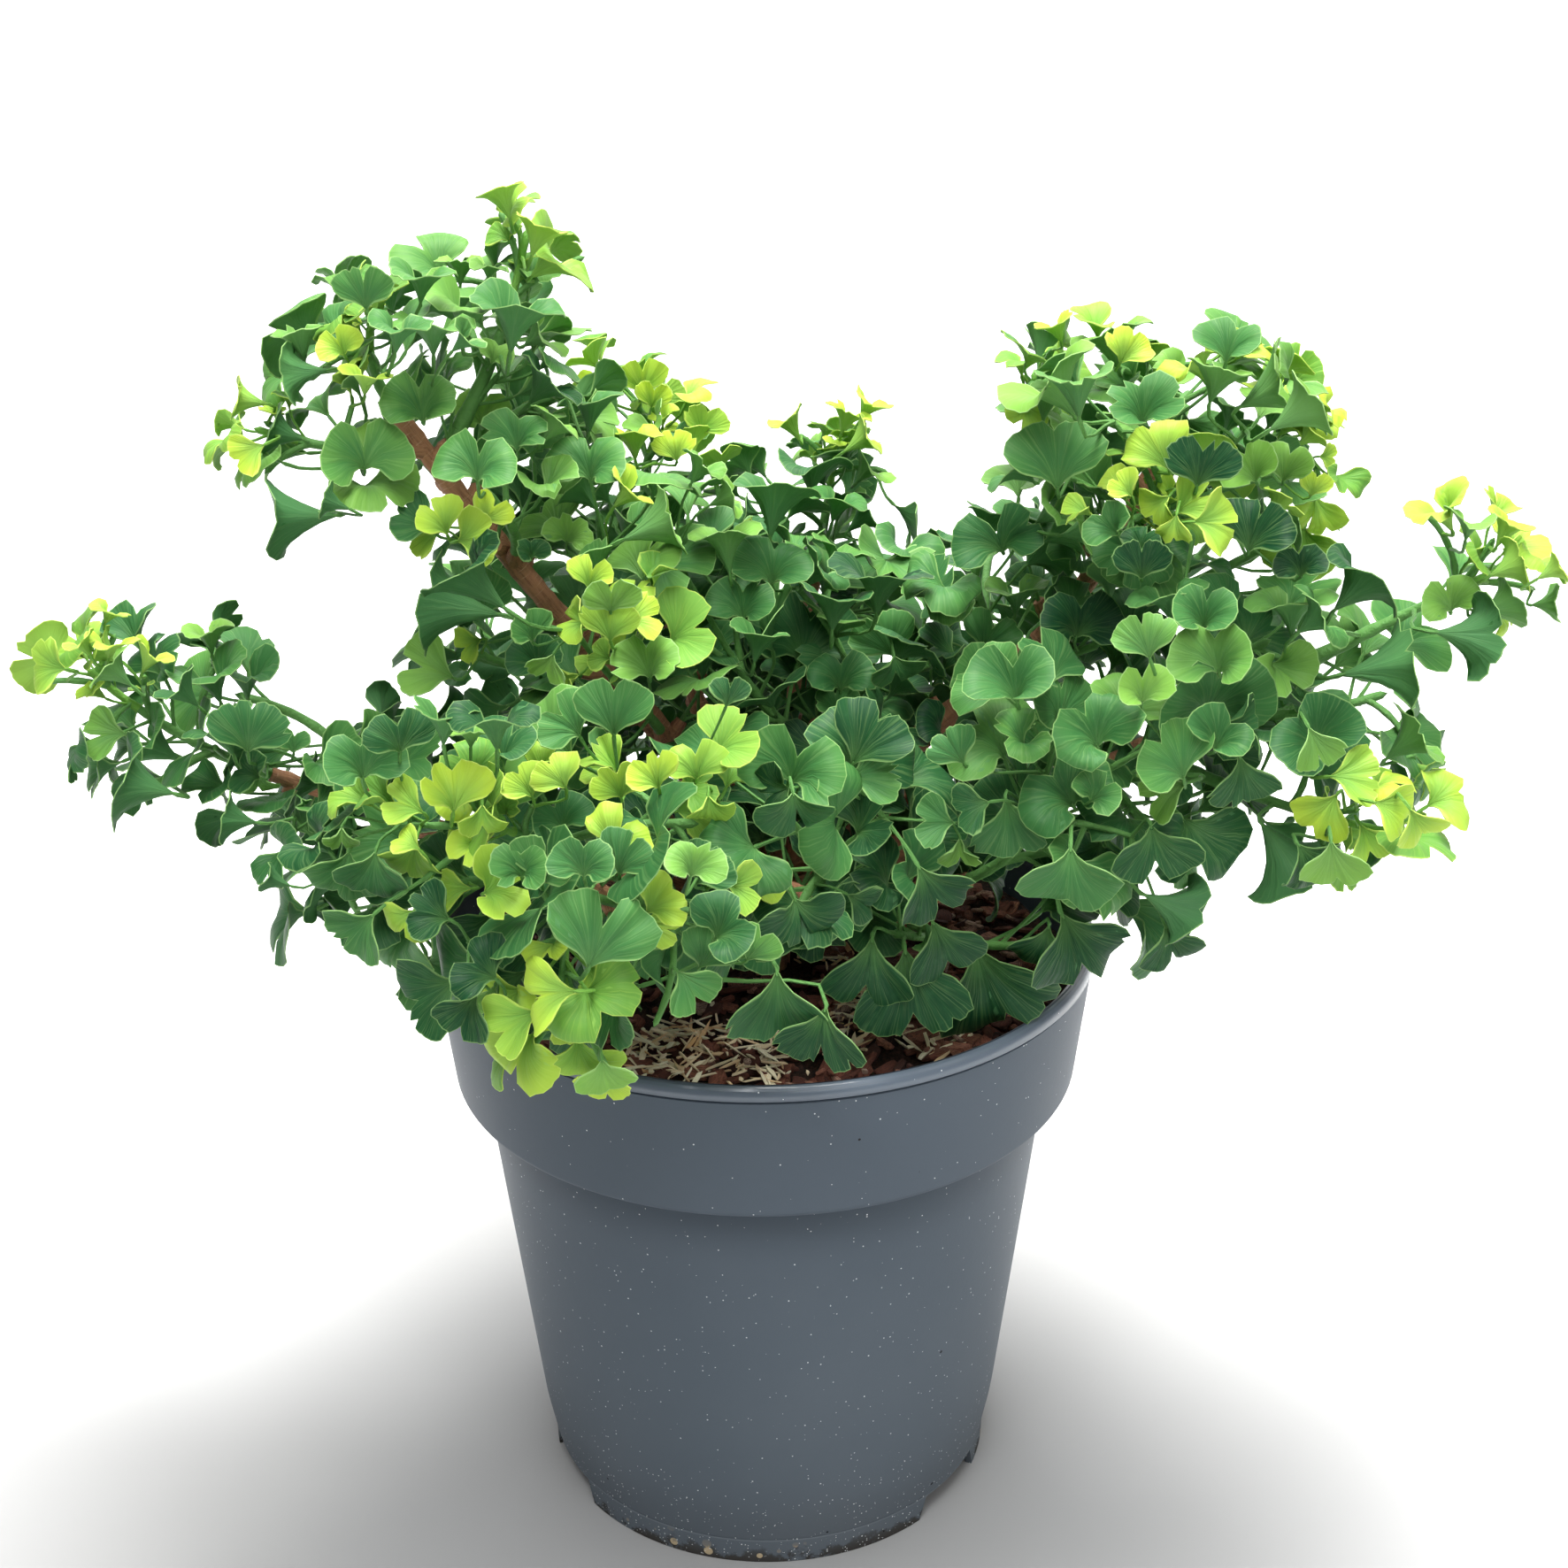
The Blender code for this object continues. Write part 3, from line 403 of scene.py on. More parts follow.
def foot_cutters():
    """What is missing from the foot: three notches in its ring and the drain holes."""
    inside = FOOT_RADIUS - FOOT_RING - OVERCUT
    outside = FOOT_RADIUS + OVERCUT
    cutters = []
    for azimuth in NOTCH_AZIMUTHS:
        outlines = []
        for half in (NOTCH_WIDTH / 2 + NOTCH_SLOPE, NOTCH_WIDTH / 2 - NOTCH_SLOPE):
            turns = [math.radians(azimuth) - half, math.radians(azimuth) + half]
            outlines.append([(radius * math.cos(turn), radius * math.sin(turn))
                             for radius, turn in ((inside, turns[0]), (outside, turns[0]),
                                                  (outside, turns[1]), (inside, turns[1]))])
        cutters.append(prism(*outlines, -OVERCUT, NOTCH_HEIGHT))
    for hole in range(DRAINS):
        turn = math.tau * (hole + 0.5) / DRAINS
        centre = (DRAIN_CIRCLE * math.cos(turn), DRAIN_CIRCLE * math.sin(turn))
        turns = [math.tau * side / DRAIN_SIDES for side in range(DRAIN_SIDES)]
        outline = [(centre[0] + DRAIN_RADIUS * math.cos(turn), centre[1] + DRAIN_RADIUS * math.sin(turn))
                   for turn in turns]
        cutters.append(prism(outline, outline, FOOT_HEIGHT - OVERCUT, FOOT_HEIGHT + FLOOR + OVERCUT))
    return cutters


def cut(body, cutters):
    """The body as a mesh with all the cutters taken out of it."""
    helpers = bpy.data.collections.new("helpers")
    items = []
    for bm in [body] + cutters:
        mesh = bpy.data.meshes.new("helper")
        bm.to_mesh(mesh)
        bm.free()
        items.append(bpy.data.objects.new("helper", mesh))
    bpy.context.scene.collection.objects.link(items[0])
    for item in items[1:]:
        helpers.objects.link(item)
    step = items[0].modifiers.new("step", "BOOLEAN")
    step.operation = "DIFFERENCE"
    step.operand_type = "COLLECTION"
    step.collection = helpers
    evaluated = items[0].evaluated_get(bpy.context.evaluated_depsgraph_get())
    mesh = bpy.data.meshes.new_from_object(evaluated)
    for item in items:
        bpy.data.objects.remove(item)
    bpy.data.collections.remove(helpers)
    return mesh


def pot_plastic():
    """Satin blue-grey plastic, with painted shade that darkens it towards the collar, inside too, a painted
    shadow under the collar and a painted highlight on the bead, and with pale and dark specks and dirt about
    the foot.
    """
    material, start, shader = new_finish("pot_plastic")
    place = start.node("ShaderNodeTexCoord", out="Object")
    _, _, height = place.parts()
    clouds = place.noise(9.0, 4.0)
    grain = place.noise(1400.0, 2.0)
    low = 1 - height.ease(*DUST_ENDS)
    foot = 1 - height.ease(*DIRT_ENDS)

    def specks(scale, size, share):
        """Dots in a share of the cells of a scale, each of another size."""
        cells = start.node("ShaderNodeTexVoronoi", {"feature": "F1"}, {"Vector": place, "Scale": scale})
        tint = Wire(start.tree, cells.socket.node.outputs["Color"])
        chosen, spread, _ = tint.parts()
        return (cells < spread * size) * (chosen < share)

    collar = height.ease(*SPECKS_THIN_OUT)
    pale = specks(380.0, 0.15, low * 0.24 + foot * 0.30 + 0.06 - collar * 0.04)
    fine = specks(680.0, 0.26, low * 0.32 + foot * 0.45 + 0.09 - collar * 0.05)
    seam = (height > FOOT_HEIGHT - 0.0013) * (height < FOOT_HEIGHT - 0.0005)
    dark = specks(75.0, 0.065, 0.25)
    smudge = (place.noise(60.0, 5.0, 0.7) + foot * 0.34).ease(0.74, 0.84) * foot
    straw = specks(120.0, 0.34, 0.7) * (smudge + foot * 0.4)
    base = clouds.ease(0.3, 0.7).blend((0.107, 0.134, 0.163), (0.120, 0.147, 0.176))
    # Painted shade: the wall grows darker towards the collar
    base = (height.ease(*WALL_PAINTED_SHADE) * 0.7).blend(base, (0.068, 0.088, 0.115))
    # Painted shadow: a dark band on the wall just under the collar
    under = height.ease(*COLLAR_PAINTED_SHADOW) * (height < COLLAR_BOTTOM - 0.0003)
    base = (under * 0.45).blend(base, (0.020, 0.028, 0.040))
    # Painted highlight: the bead is paler than the wall
    base = (height.ease(*BEAD_PAINTED_HIGHLIGHT) * 0.8).blend(base, (0.120, 0.150, 0.190))
    base = ((low * 0.5 + 0.05) * place.noise(26.0, 4.0)).blend(base, (0.150, 0.165, 0.176))
    base = (smudge * 0.85).blend(base, (0.045, 0.036, 0.026))
    base = straw.blend(base, (0.55, 0.44, 0.28))
    base = dark.blend(base, (0.015, 0.015, 0.016))
    base = (seam * 0.35).blend(base, (0.24, 0.27, 0.30))
    base = ((pale + fine) * 0.9).blend(base, (0.78, 0.81, 0.82))
    rough = clouds * 0.10 + low * 0.08 + smudge * 0.3 + 0.44 - height.ease(*SHEEN_STARTS) * 0.16
    start.feed(shader, {**SATIN, "Base Color": base, "Roughness": rough,
                        "Coat Weight": height.ease(*GLOSS_STARTS) * 0.8,
                        "Normal": (grain * 0.6 + place.noise(170.0, 3.0)).bump(0.00006)})
    return material


def make_pot():
    """The pot, turned on a lathe, with the notches in its foot and the holes in its floor cut out."""
    mesh = cut(turned(pot_profile(), POT_SIDES), foot_cutters())
    mesh.name = "pot"
    show("nursery_pot", mesh, pot_plastic(), ["pot"], 32)


make_pot()


# The potting soil. A dark peat and bark mix packed into the pot by hand, full of fine roots. It keeps
# the shape of the CAD solid, and only shows through the drain holes and at the rim of the well.
def potting_soil():
    """Dark crumbs, crossed by pale thin roots."""
    material, start, shader = new_finish("potting_soil")
    place = start.node("ShaderNodeTexCoord", out="Object")
    crumbs = place.noise(420.0, 6.0, 0.7)
    roots = place.noise(70.0, 3.0).ease(0.49, 0.5) * (1 - place.noise(70.0, 3.0).ease(0.5, 0.51))
    base = crumbs.ease(0.3, 0.75).blend((0.012, 0.007, 0.004), (0.060, 0.036, 0.022))
    base = (roots * 0.6).blend(base, (0.26, 0.20, 0.13))
    start.feed(shader, {"Base Color": base, "Roughness": 0.95, "Normal": crumbs.bump(0.0012)})
    return material


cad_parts["potting_soil"].data.materials.clear()
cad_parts["potting_soil"].data.materials.append(potting_soil())


# The mulch. Reddish pine bark in flat layered chips, with pale splinters of the wood that came off
# with it, strewn by hand over a bed of dark crumbs a little below the rim.
SOIL_TOP = 0.2560
SOIL_CLEARANCE = 0.0012
MULCH_TOP = 0.2690
GAP = 0.0003
TRUNK_RADIUS = 0.0130
TRUNK_CLEARANCE = 0.0004
BED_SIDES = 120
BED_RINGS = 30
CHIP_COUNT = 760
CRUMB_COUNT = 420
SPLINTER_COUNT = 660
CHIP_CORNERS = 7
CHIP_LENGTH = (0.009, 0.020)
CHIP_SLIMNESS = (0.42, 0.80)
CHIP_THICKNESS = (0.0012, 0.0032)
CHIP_TILT = 0.46
CHIP_LIFT = (0.0010, 0.0066)
CRUMB_CORNERS = 5
CRUMB_LENGTH = (0.0030, 0.0075)
CRUMB_WIDTH = (0.0022, 0.0045)
CRUMB_THICKNESS = 0.0018
CRUMB_TILT = 0.6
CRUMB_LIFT = (0.0030, 0.0085)
SPLINTER_LENGTH = (0.004, 0.022)
SPLINTER_WIDTH = (0.0008, 0.0036)
SPLINTER_THICKNESS = (0.0004, 0.0010)
SPLINTER_TILT = 0.34
SPLINTER_LIFT = (0.0056, 0.0098)
SPLINTER_PATCHES = 40
PATCH_SPREAD = 0.0075
SHOWN_TURNS = (-2.1, -0.3)
GRAIN_SCALE = 900
BED_GRAIN_SCALE = 40


class Heap:
    """Loose parts that are gathered into one mesh, each point with its place on the part and a mark."""

    def __init__(self):
        self.points = []
        self.faces = []
        self.places = []
        self.marks = []
        self.size = 0

    def add(self, points, faces, places, marks):
        """Add a part. Its marks are one row for each of its points, or one for all of them."""
        self.points.append(np.asarray(points, float))
        self.places.append(np.asarray(places, float))
        self.marks.append(np.broadcast_to(np.asarray(marks, float), (len(points), 3)))
        if isinstance(faces, np.ndarray):
            self.faces += (faces + self.size).tolist()
        else:
            self.faces += [[i + self.size for i in face] for face in faces]
        self.size += len(points)

    def mesh(self, name):
        """Everything in the heap as one mesh, with the places and marks as attributes."""
        mesh = bpy.data.meshes.new(name)
        mesh.from_pydata(np.concatenate(self.points), [], self.faces)
        for title, rows in (("place", self.places), ("mark", self.marks)):
            layer = mesh.attributes.new(title, "FLOAT_VECTOR", "POINT")
            layer.data.foreach_set("vector", np.concatenate(rows).astype(np.float32).ravel())
        mesh.validate()
        return mesh


def read_heap(start):
    """The places and the marks of a heap's parts, as six numbers in a finish."""
    numbers = []
    for title in ("place", "mark"):
        settings = {"attribute_type": "GEOMETRY", "attribute_name": title}
        numbers += start.node("ShaderNodeAttribute", settings, out="Vector").parts()
    return numbers


def ring_faces(rings, sides):
    """The faces between rings of points, from each ring to the next one."""
    faces = []
    for ring in range(rings):
        for side in range(sides):
            other = (side + 1) % sides
            faces.append((ring * sides + side, ring * sides + other,
                          (ring + 1) * sides + other, (ring + 1) * sides + side))
    return faces


def bed_height(x, y):
    """Height of the crumb bed: level, a little heaped towards the trunk, and lumpy."""
    radius = math.hypot(x, y)
    lumps = math.sin(61 * x + 3 * math.sin(47 * y)) * math.cos(53 * y + 2 * math.sin(39 * x))
    dip = 0.0022 * max(radius - 0.135, 0) / 0.015
    return MULCH_TOP + 0.0030 * (1 - radius / 0.15) + 0.0016 * lumps - dip


def add_bed(heap):
    """The bed of crumbs, a closed disc round the trunk."""
    rng = np.random.default_rng(3)
    bottom = SOIL_TOP + GAP
    edge = inner_radius(SOIL_TOP) - SOIL_CLEARANCE
    hole = TRUNK_RADIUS + TRUNK_CLEARANCE
    radii = [hole + (edge + 0.0004 - hole) * ring / BED_RINGS for ring in range(BED_RINGS + 1)]
    points = []
    for index, radius in enumerate([hole] + radii + [edge]):
        for side in range(BED_SIDES):
            turn = math.tau * side / BED_SIDES
            x, y = radius * math.cos(turn), radius * math.sin(turn)
            level = index in (0, len(radii) + 1)
            points.append((x, y, bottom if level else bed_height(x, y) + 0.0011 * rng.standard_normal()))
    count = len(points)
    faces = [(a, d % count, c % count, b) for a, b, c, d in ring_faces(len(radii) + 2, BED_SIDES)]
    heap.add(points, faces, np.array(points) * BED_GRAIN_SCALE, (0, 0, 0))


def slab(rng, length, width, thickness, corners, taper):
    """A flat irregular slab about the origin, long in X, as points and faces."""
    outline = []
    for corner in range(corners):
        turn = math.tau * (corner + rng.uniform(-0.28, 0.28)) / corners
        reach = rng.uniform(0.62, 1.0)
        square = max(abs(math.cos(turn)), abs(math.sin(turn))) ** 0.7
        outline.append((0.5 * length * reach * math.cos(turn) / square,
                        0.5 * width * reach * math.sin(turn) / square))
    points = []
    for level, shrink in ((-0.5, 0.86), (-0.2, 1.0), (0.25, 0.98), (0.5, taper)):
        lean = rng.uniform(-0.12, 0.12)
        for x, y in outline:
            bow = 0.10 * thickness * (2 * x / length) ** 2
            lift = level * thickness * rng.uniform(0.8, 1.15) + lean * y + bow
            points.append((x * shrink, y * shrink, lift))
    faces = [tuple(range(corners))[::-1], tuple(range(3 * corners, 4 * corners))]
    return np.array(points), faces + ring_faces(3, corners)


def lay_down(rng, points, radius, turn, tilt, lift):
    """Turn a slab about itself, tilt it and lay it on the bed at a radius and turn of the pot."""
    spin = Matrix.Rotation(rng.uniform(0, math.tau), 3, "Z")
    lean = Matrix.Rotation(rng.uniform(-tilt, tilt), 3, "X")
    lean = lean @ Matrix.Rotation(rng.uniform(-tilt, tilt), 3, "Y")
    placed = points @ np.array(spin @ lean).T
    x, y = radius * math.cos(turn), radius * math.sin(turn)
    return placed + np.array((x, y, bed_height(x, y) + lift))


def bark_mulch():
    """Layered red-brown bark and tan splinters over dark crumbs."""
    material, start, shader = new_finish("bark_mulch")
    along, across, level, tone, splinter, chip = read_heap(start)
    place = start.node("ShaderNodeTexCoord", out="Object")
    layers = (along * 0.35).joined(across * 2.4, level * 5.0 + tone * 90).noise(1.0, 4.0, 0.65)
    crumbs = place.noise(520.0, 5.0, 0.7)
    bark = tone.node("ShaderNodeValToRGB", {"stops": (
        (0.0, (0.022, 0.010, 0.008)), (0.25, (0.110, 0.036, 0.024)), (0.5, (0.235, 0.082, 0.052)),
        (0.75, (0.420, 0.175, 0.110)), (1.0, (0.520, 0.390, 0.310)))}, {0: tone})
    bark = (layers.ease(0.42, 0.66) * 0.85).blend(bark, (0.050, 0.022, 0.015))
    bark = (layers.ease(0.64, 0.76) * 0.5).blend(bark, (0.70, 0.42, 0.27))
    wood = tone.blend((0.86, 0.52, 0.24), (1.0, 0.94, 0.70))
    wood = (layers.ease(0.58, 0.78) * 0.35).blend(wood, (0.55, 0.30, 0.14))
    soil = crumbs.ease(0.35, 0.75).blend((0.008, 0.005, 0.003), (0.070, 0.030, 0.020))
    base = splinter.blend(chip.blend(soil, bark), wood)
    height = layers * 0.7 + crumbs * 0.5
    start.feed(shader, {"Base Color": base, "Roughness": 0.86 - splinter * 0.2,
                        "Specular IOR Level": 0.35, "Normal": height.bump(0.0011)})
    return material


def make_mulch():
    """The bed, then chips and crumbs strewn all over it, then splinters in patches."""
    rng = random.Random(12)
    heap = Heap()
    add_bed(heap)
    for index in range(CHIP_COUNT):
        radius = 0.019 + 0.121 * math.sqrt(rng.random())
        turn = rng.uniform(0, math.tau)
        length = rng.uniform(*CHIP_LENGTH) * (1 if index % 6 else 1.3)
        width = length * rng.uniform(*CHIP_SLIMNESS)
        thick = rng.uniform(*CHIP_THICKNESS)
        points, faces = slab(rng, length, width, thick, CHIP_CORNERS, rng.uniform(0.6, 0.9))
        reach = 0.146 - 0.5 * length
        placed = lay_down(rng, points, min(radius, reach), turn, CHIP_TILT, rng.uniform(*CHIP_LIFT))
        heap.add(placed, faces, points * GRAIN_SCALE, (rng.betavariate(1.6, 1.9), 0, 1))
    for _ in range(CRUMB_COUNT):
        points, faces = slab(rng, rng.uniform(*CRUMB_LENGTH), rng.uniform(*CRUMB_WIDTH), CRUMB_THICKNESS,
                             CRUMB_CORNERS, 0.7)
        placed = lay_down(rng, points, 0.020 + 0.118 * math.sqrt(rng.random()), rng.uniform(0, math.tau),
                          CRUMB_TILT, rng.uniform(*CRUMB_LIFT))
        heap.add(placed, faces, points * GRAIN_SCALE, (rng.betavariate(1.3, 1.5), 0, 1))
    patches = []
    for index in range(SPLINTER_PATCHES):
        turn = rng.uniform(*SHOWN_TURNS) if index % 2 else rng.uniform(0, math.tau)
        patches.append((turn, rng.uniform(0.08, 0.13) if index % 2 else rng.uniform(0.03, 0.13)))
    for index in range(SPLINTER_COUNT):
        middle_turn, middle_radius = patches[index % SPLINTER_PATCHES]
        turn = middle_turn + rng.gauss(0, PATCH_SPREAD) / middle_radius
        radius = min(max(middle_radius + rng.gauss(0, PATCH_SPREAD), 0.022), 0.136)
        points, faces = slab(rng, rng.uniform(*SPLINTER_LENGTH), rng.uniform(*SPLINTER_WIDTH),
                             rng.uniform(*SPLINTER_THICKNESS), CRUMB_CORNERS, 0.8)
        placed = lay_down(rng, points, radius, turn, SPLINTER_TILT, rng.uniform(*SPLINTER_LIFT))
        heap.add(placed, faces, points * GRAIN_SCALE, (rng.betavariate(2.2, 1.4), 1, 0))
    show("bark_mulch_layer", heap.mesh("bark_mulch"), bark_mulch(), ["bark_mulch"], 40)


make_mulch()


# The wood. One short trunk with its limbs, grown as a piece: reddish-brown bark, ringed and knobbly
# with the spurs of former years, from which the leafy shoots and the leaf tufts stand out.
TRUNK_FOOT = 0.2350
SPUR_LENGTH = 0.0065
SPUR_RADIUS = 0.0042
SPUR_COLLAR = 0.0004
SPUR_STEPS = 7
SPUR_SIDES = 8
SPUR_LEAN = 0.25
SCAR = 0.00045
BLUNT_END = 0.82
TWIG_RADIUS = 0.0026
WOOD_SIDES = 14
WOOD_STEP = 0.0040
SLENDER = 0.78
TRUNK_SLENDER = 0.985
TRUNK_LINE = ((0, 0, TRUNK_FOOT), (0, 0, 0.274), (0.003, 0.001, 0.308), (0.002, 0.004, 0.336))
TRUNK_RADII = (TRUNK_RADIUS, TRUNK_RADIUS, 0.0125, 0.0105)
LIMBS = {
    "upper_left": (0.0095, 0.0046, ((0, 0, 0.298), (-0.018, -0.008, 0.345), (-0.047, -0.015, 0.398),
                                    (-0.097, -0.025, 0.467), (-0.129, -0.030, 0.513),
                                    (-0.154, -0.034, 0.552))),
    "left": (0.0085, 0.0040, ((0, 0, 0.292), (-0.070, -0.020, 0.330), (-0.150, -0.042, 0.362),
                              (-0.216, -0.060, 0.396))),
    "front_left": (0.0085, 0.0042, ((0, 0, 0.292), (-0.030, -0.060, 0.328), (-0.058, -0.120, 0.362),
                                    (-0.070, -0.152, 0.384))),
    "front": (0.0070, 0.0040, ((0, 0, 0.296), (0.016, -0.056, 0.326), (0.024, -0.088, 0.352))),
    "front_right": (0.0075, 0.0042, ((0, 0, 0.294), (0.056, -0.046, 0.318), (0.092, -0.072, 0.348))),
    "right": (0.0090, 0.0044, ((0.002, 0, 0.304), (0.080, -0.026, 0.345), (0.155, -0.042, 0.390),
                               (0.214, -0.044, 0.424))),
    "dome": (0.0095, 0.0048, ((0.002, 0, 0.310), (0.062, 0.004, 0.374), (0.128, 0.004, 0.434),
                              (0.162, 0.002, 0.484), (0.176, 0, 0.516))),
    "middle": (0.0075, 0.0042, ((0.003, 0, 0.318), (0.012, -0.004, 0.360), (0.032, -0.006, 0.398))),
    "back_left": (0.0075, 0.0040, ((0, 0.002, 0.312), (-0.028, 0.040, 0.380), (-0.050, 0.072, 0.440),
                                   (-0.056, 0.084, 0.480))),
    "back": (0.0080, 0.0040, ((0, 0.002, 0.308), (0.012, 0.040, 0.366), (0.022, 0.080, 0.420),
                              (0.030, 0.102, 0.456))),
    "low_back_left": (0.0080, 0.0040, ((0, 0, 0.296), (-0.060, 0.062, 0.330), (-0.112, 0.112, 0.366))),
    "low_back": (0.0075, 0.0040, ((0, 0, 0.300), (0.006, 0.078, 0.334), (0.014, 0.138, 0.372))),
    "low_back_right": (0.0080, 0.0040, ((0, 0, 0.298), (0.072, 0.060, 0.338), (0.132, 0.104, 0.378))),
}

# Leafy sprays: limb, place along it, size of the blades, and for each shoot its tip,
# its green leaves and its young leaves; the second and later shoots fork from the first
SPRAYS = {
    "crest": ("upper_left", 0.90, 0.85, (((-0.098, 0.000, 0.620), 5, 4),)),
    "upper_left_end": ("upper_left", 1.00, 0.85, (((-0.160, -0.044, 0.588), 3, 3),
                                                 ((-0.172, -0.010, 0.574), 2, 0))),
    "upper_left_outer": ("upper_left", 0.93, 0.85, (((-0.208, -0.052, 0.548), 3, 4),
                                                    ((-0.176, -0.078, 0.520), 3, 0))),
    "upper_left_back": ("upper_left", 0.82, 0.90, (((-0.130, 0.034, 0.576), 3, 0),
                                                   ((-0.086, 0.014, 0.548), 3, 0))),
    "upper_left_front": ("upper_left", 0.72, 0.95, (((-0.112, -0.072, 0.526), 4, 0),)),
    "upper_left_low": ("upper_left", 0.56, 0.95, (((-0.074, 0.026, 0.488), 3, 0),
                                                  ((-0.066, -0.034, 0.490), 3, 0))),
    "upper_left_under": ("upper_left", 0.50, 0.95, (((-0.122, -0.046, 0.446), 3, 0),)),
    "upper_left_trio": ("upper_left", 0.36, 1.0, (((-0.064, -0.062, 0.440), 3, 4),)),
    "back_left_top": ("back_left", 1.00, 0.85, (((-0.050, 0.090, 0.510), 3, 4),
                                                ((-0.088, 0.084, 0.486), 2, 0))),
    "back_left_inner": ("back_left", 0.72, 0.95, (((-0.016, 0.060, 0.468), 3, 0),
                                                  ((-0.044, 0.026, 0.462), 3, 0))),
    "back_top": ("back", 1.00, 0.70, (((0.036, 0.106, 0.492), 4, 4),)),
    "back_side": ("back", 0.72, 0.90, (((0.054, 0.078, 0.434), 3, 0), ((0.062, 0.104, 0.404), 3, 0))),
    "middle_left": ("middle", 0.80, 1.0, (((-0.010, -0.026, 0.432), 3, 0), ((-0.042, -0.036, 0.396), 3, 0))),
    "middle_top": ("middle", 1.00, 1.0, (((0.040, -0.010, 0.430), 3, 0), ((0.078, 0.012, 0.418), 3, 0))),
    "dome_top": ("dome", 1.00, 0.85, (((0.172, 0.000, 0.564), 4, 4), ((0.196, 0.038, 0.540), 3, 0))),
    "dome_left": ("dome", 0.82, 0.80, (((0.122, 0.006, 0.556), 4, 4),)),
    "dome_right": ("dome", 0.90, 0.85, (((0.236, 0.000, 0.536), 4, 4),)),
    "dome_front": ("dome", 0.84, 0.95, (((0.172, -0.060, 0.514), 3, 4),)),
    "dome_low_left": ("dome", 0.58, 0.95, (((0.096, -0.014, 0.474), 3, 0), ((0.108, 0.040, 0.464), 2, 0))),
    "dome_low_right": ("dome", 0.70, 0.95, (((0.236, -0.022, 0.494), 3, 0), ((0.216, 0.044, 0.474), 3, 0))),
    "dome_middle": ("dome", 0.50, 1.0, (((0.146, -0.052, 0.450), 4, 0),)),
    "right_far": ("right", 1.00, 0.85, (((0.314, -0.062, 0.486), 5, 4),)),
    "right_upper": ("right", 0.86, 0.95, (((0.214, -0.078, 0.460), 4, 0),)),
    "right_lower": ("right", 0.92, 0.95, (((0.270, -0.062, 0.430), 3, 0), ((0.252, -0.010, 0.416), 3, 0))),
    "right_front": ("right", 0.66, 1.0, (((0.184, -0.110, 0.412), 4, 0), ((0.178, -0.092, 0.364), 3, 0))),
    "right_lime": ("right", 0.80, 0.95, (((0.260, -0.128, 0.394), 3, 4),)),
    "right_back": ("right", 0.62, 1.0, (((0.176, 0.044, 0.408), 3, 0), ((0.226, 0.036, 0.396), 2, 0))),
    "front_right_upper": ("front_right", 1.00, 1.05, (((0.114, -0.118, 0.400), 4, 0),
                                                      ((0.132, -0.082, 0.366), 3, 0))),
    "front_right_lower": ("front_right", 0.62, 1.05, (((0.112, -0.094, 0.326), 3, 0),
                                                      ((0.058, -0.106, 0.338), 3, 0))),
    "front_upper": ("front", 1.00, 1.10, (((0.010, -0.132, 0.406), 3, 0), ((0.052, -0.118, 0.398), 3, 0),
                                          ((0.012, -0.126, 0.352), 3, 0))),
    "front_left_top": ("front_left", 0.96, 1.0, (((-0.104, -0.176, 0.420), 3, 5),
                                                 ((-0.026, -0.164, 0.416), 3, 0))),
    "front_left_end": ("front_left", 1.00, 1.05, (((-0.074, -0.208, 0.362), 4, 5),
                                                  ((-0.022, -0.190, 0.390), 3, 0))),
    "front_left_side": ("front_left", 0.70, 1.0, (((-0.124, -0.156, 0.386), 5, 0),)),
    "left_far": ("left", 1.00, 0.85, (((-0.284, -0.076, 0.450), 4, 4), ((-0.262, -0.084, 0.398), 3, 0))),
    "left_upper": ("left", 0.80, 0.90, (((-0.232, -0.036, 0.424), 3, 0), ((-0.174, -0.010, 0.398), 3, 0))),
    "left_lower": ("left", 0.66, 1.0, (((-0.200, -0.086, 0.362), 4, 0), ((-0.162, -0.118, 0.338), 3, 0))),
    "low_back_left_end": ("low_back_left", 0.96, 1.05, (((-0.150, 0.140, 0.396), 3, 0),
                                                        ((-0.092, 0.150, 0.390), 3, 0))),
    "low_back_end": ("low_back", 0.96, 1.05, (((-0.008, 0.176, 0.396), 3, 0), ((0.046, 0.168, 0.398), 3, 0))),
    "low_back_right_end": ("low_back_right", 0.96, 1.05, (((0.160, 0.136, 0.408), 3, 0),
                                                          ((0.108, 0.152, 0.392), 3, 0))),
}

# Leaf tufts on old spurs of each limb, that fill the crown inwards from the shoots: how many there
# are, from and to where along the limb, and the size of their blades
TUFTS = {
    "upper_left": (9, 0.30, 0.95, 0.90), "left": (12, 0.35, 0.96, 0.90), "front_left": (10, 0.30, 0.95, 1.0),
    "front": (8, 0.30, 1.00, 1.05), "front_right": (8, 0.35, 1.00, 1.05), "right": (14, 0.28, 0.96, 0.95),
    "dome": (14, 0.25, 0.98, 0.90), "middle": (8, 0.25, 1.00, 0.95), "back_left": (10, 0.30, 0.95, 0.90),
    "back": (9, 0.30, 0.92, 0.90), "low_back_left": (10, 0.35, 1.00, 1.0),
    "low_back": (10, 0.35, 1.00, 1.0), "low_back_right": (10, 0.35, 1.00, 1.0),
}
GOLDEN_ANGLE = math.radians(137.508)
Tuft = namedtuple("Tuft", "limb start tip heading size rng")


def frame_across(direction):
    """Two unit vectors square to a direction and to each other, the first one level."""
    level = direction.cross(UP)
    if level.length < 1e-3:
        level = Vector((1, 0, 0))
    level.normalize()
    return level, level.cross(direction).normalized()


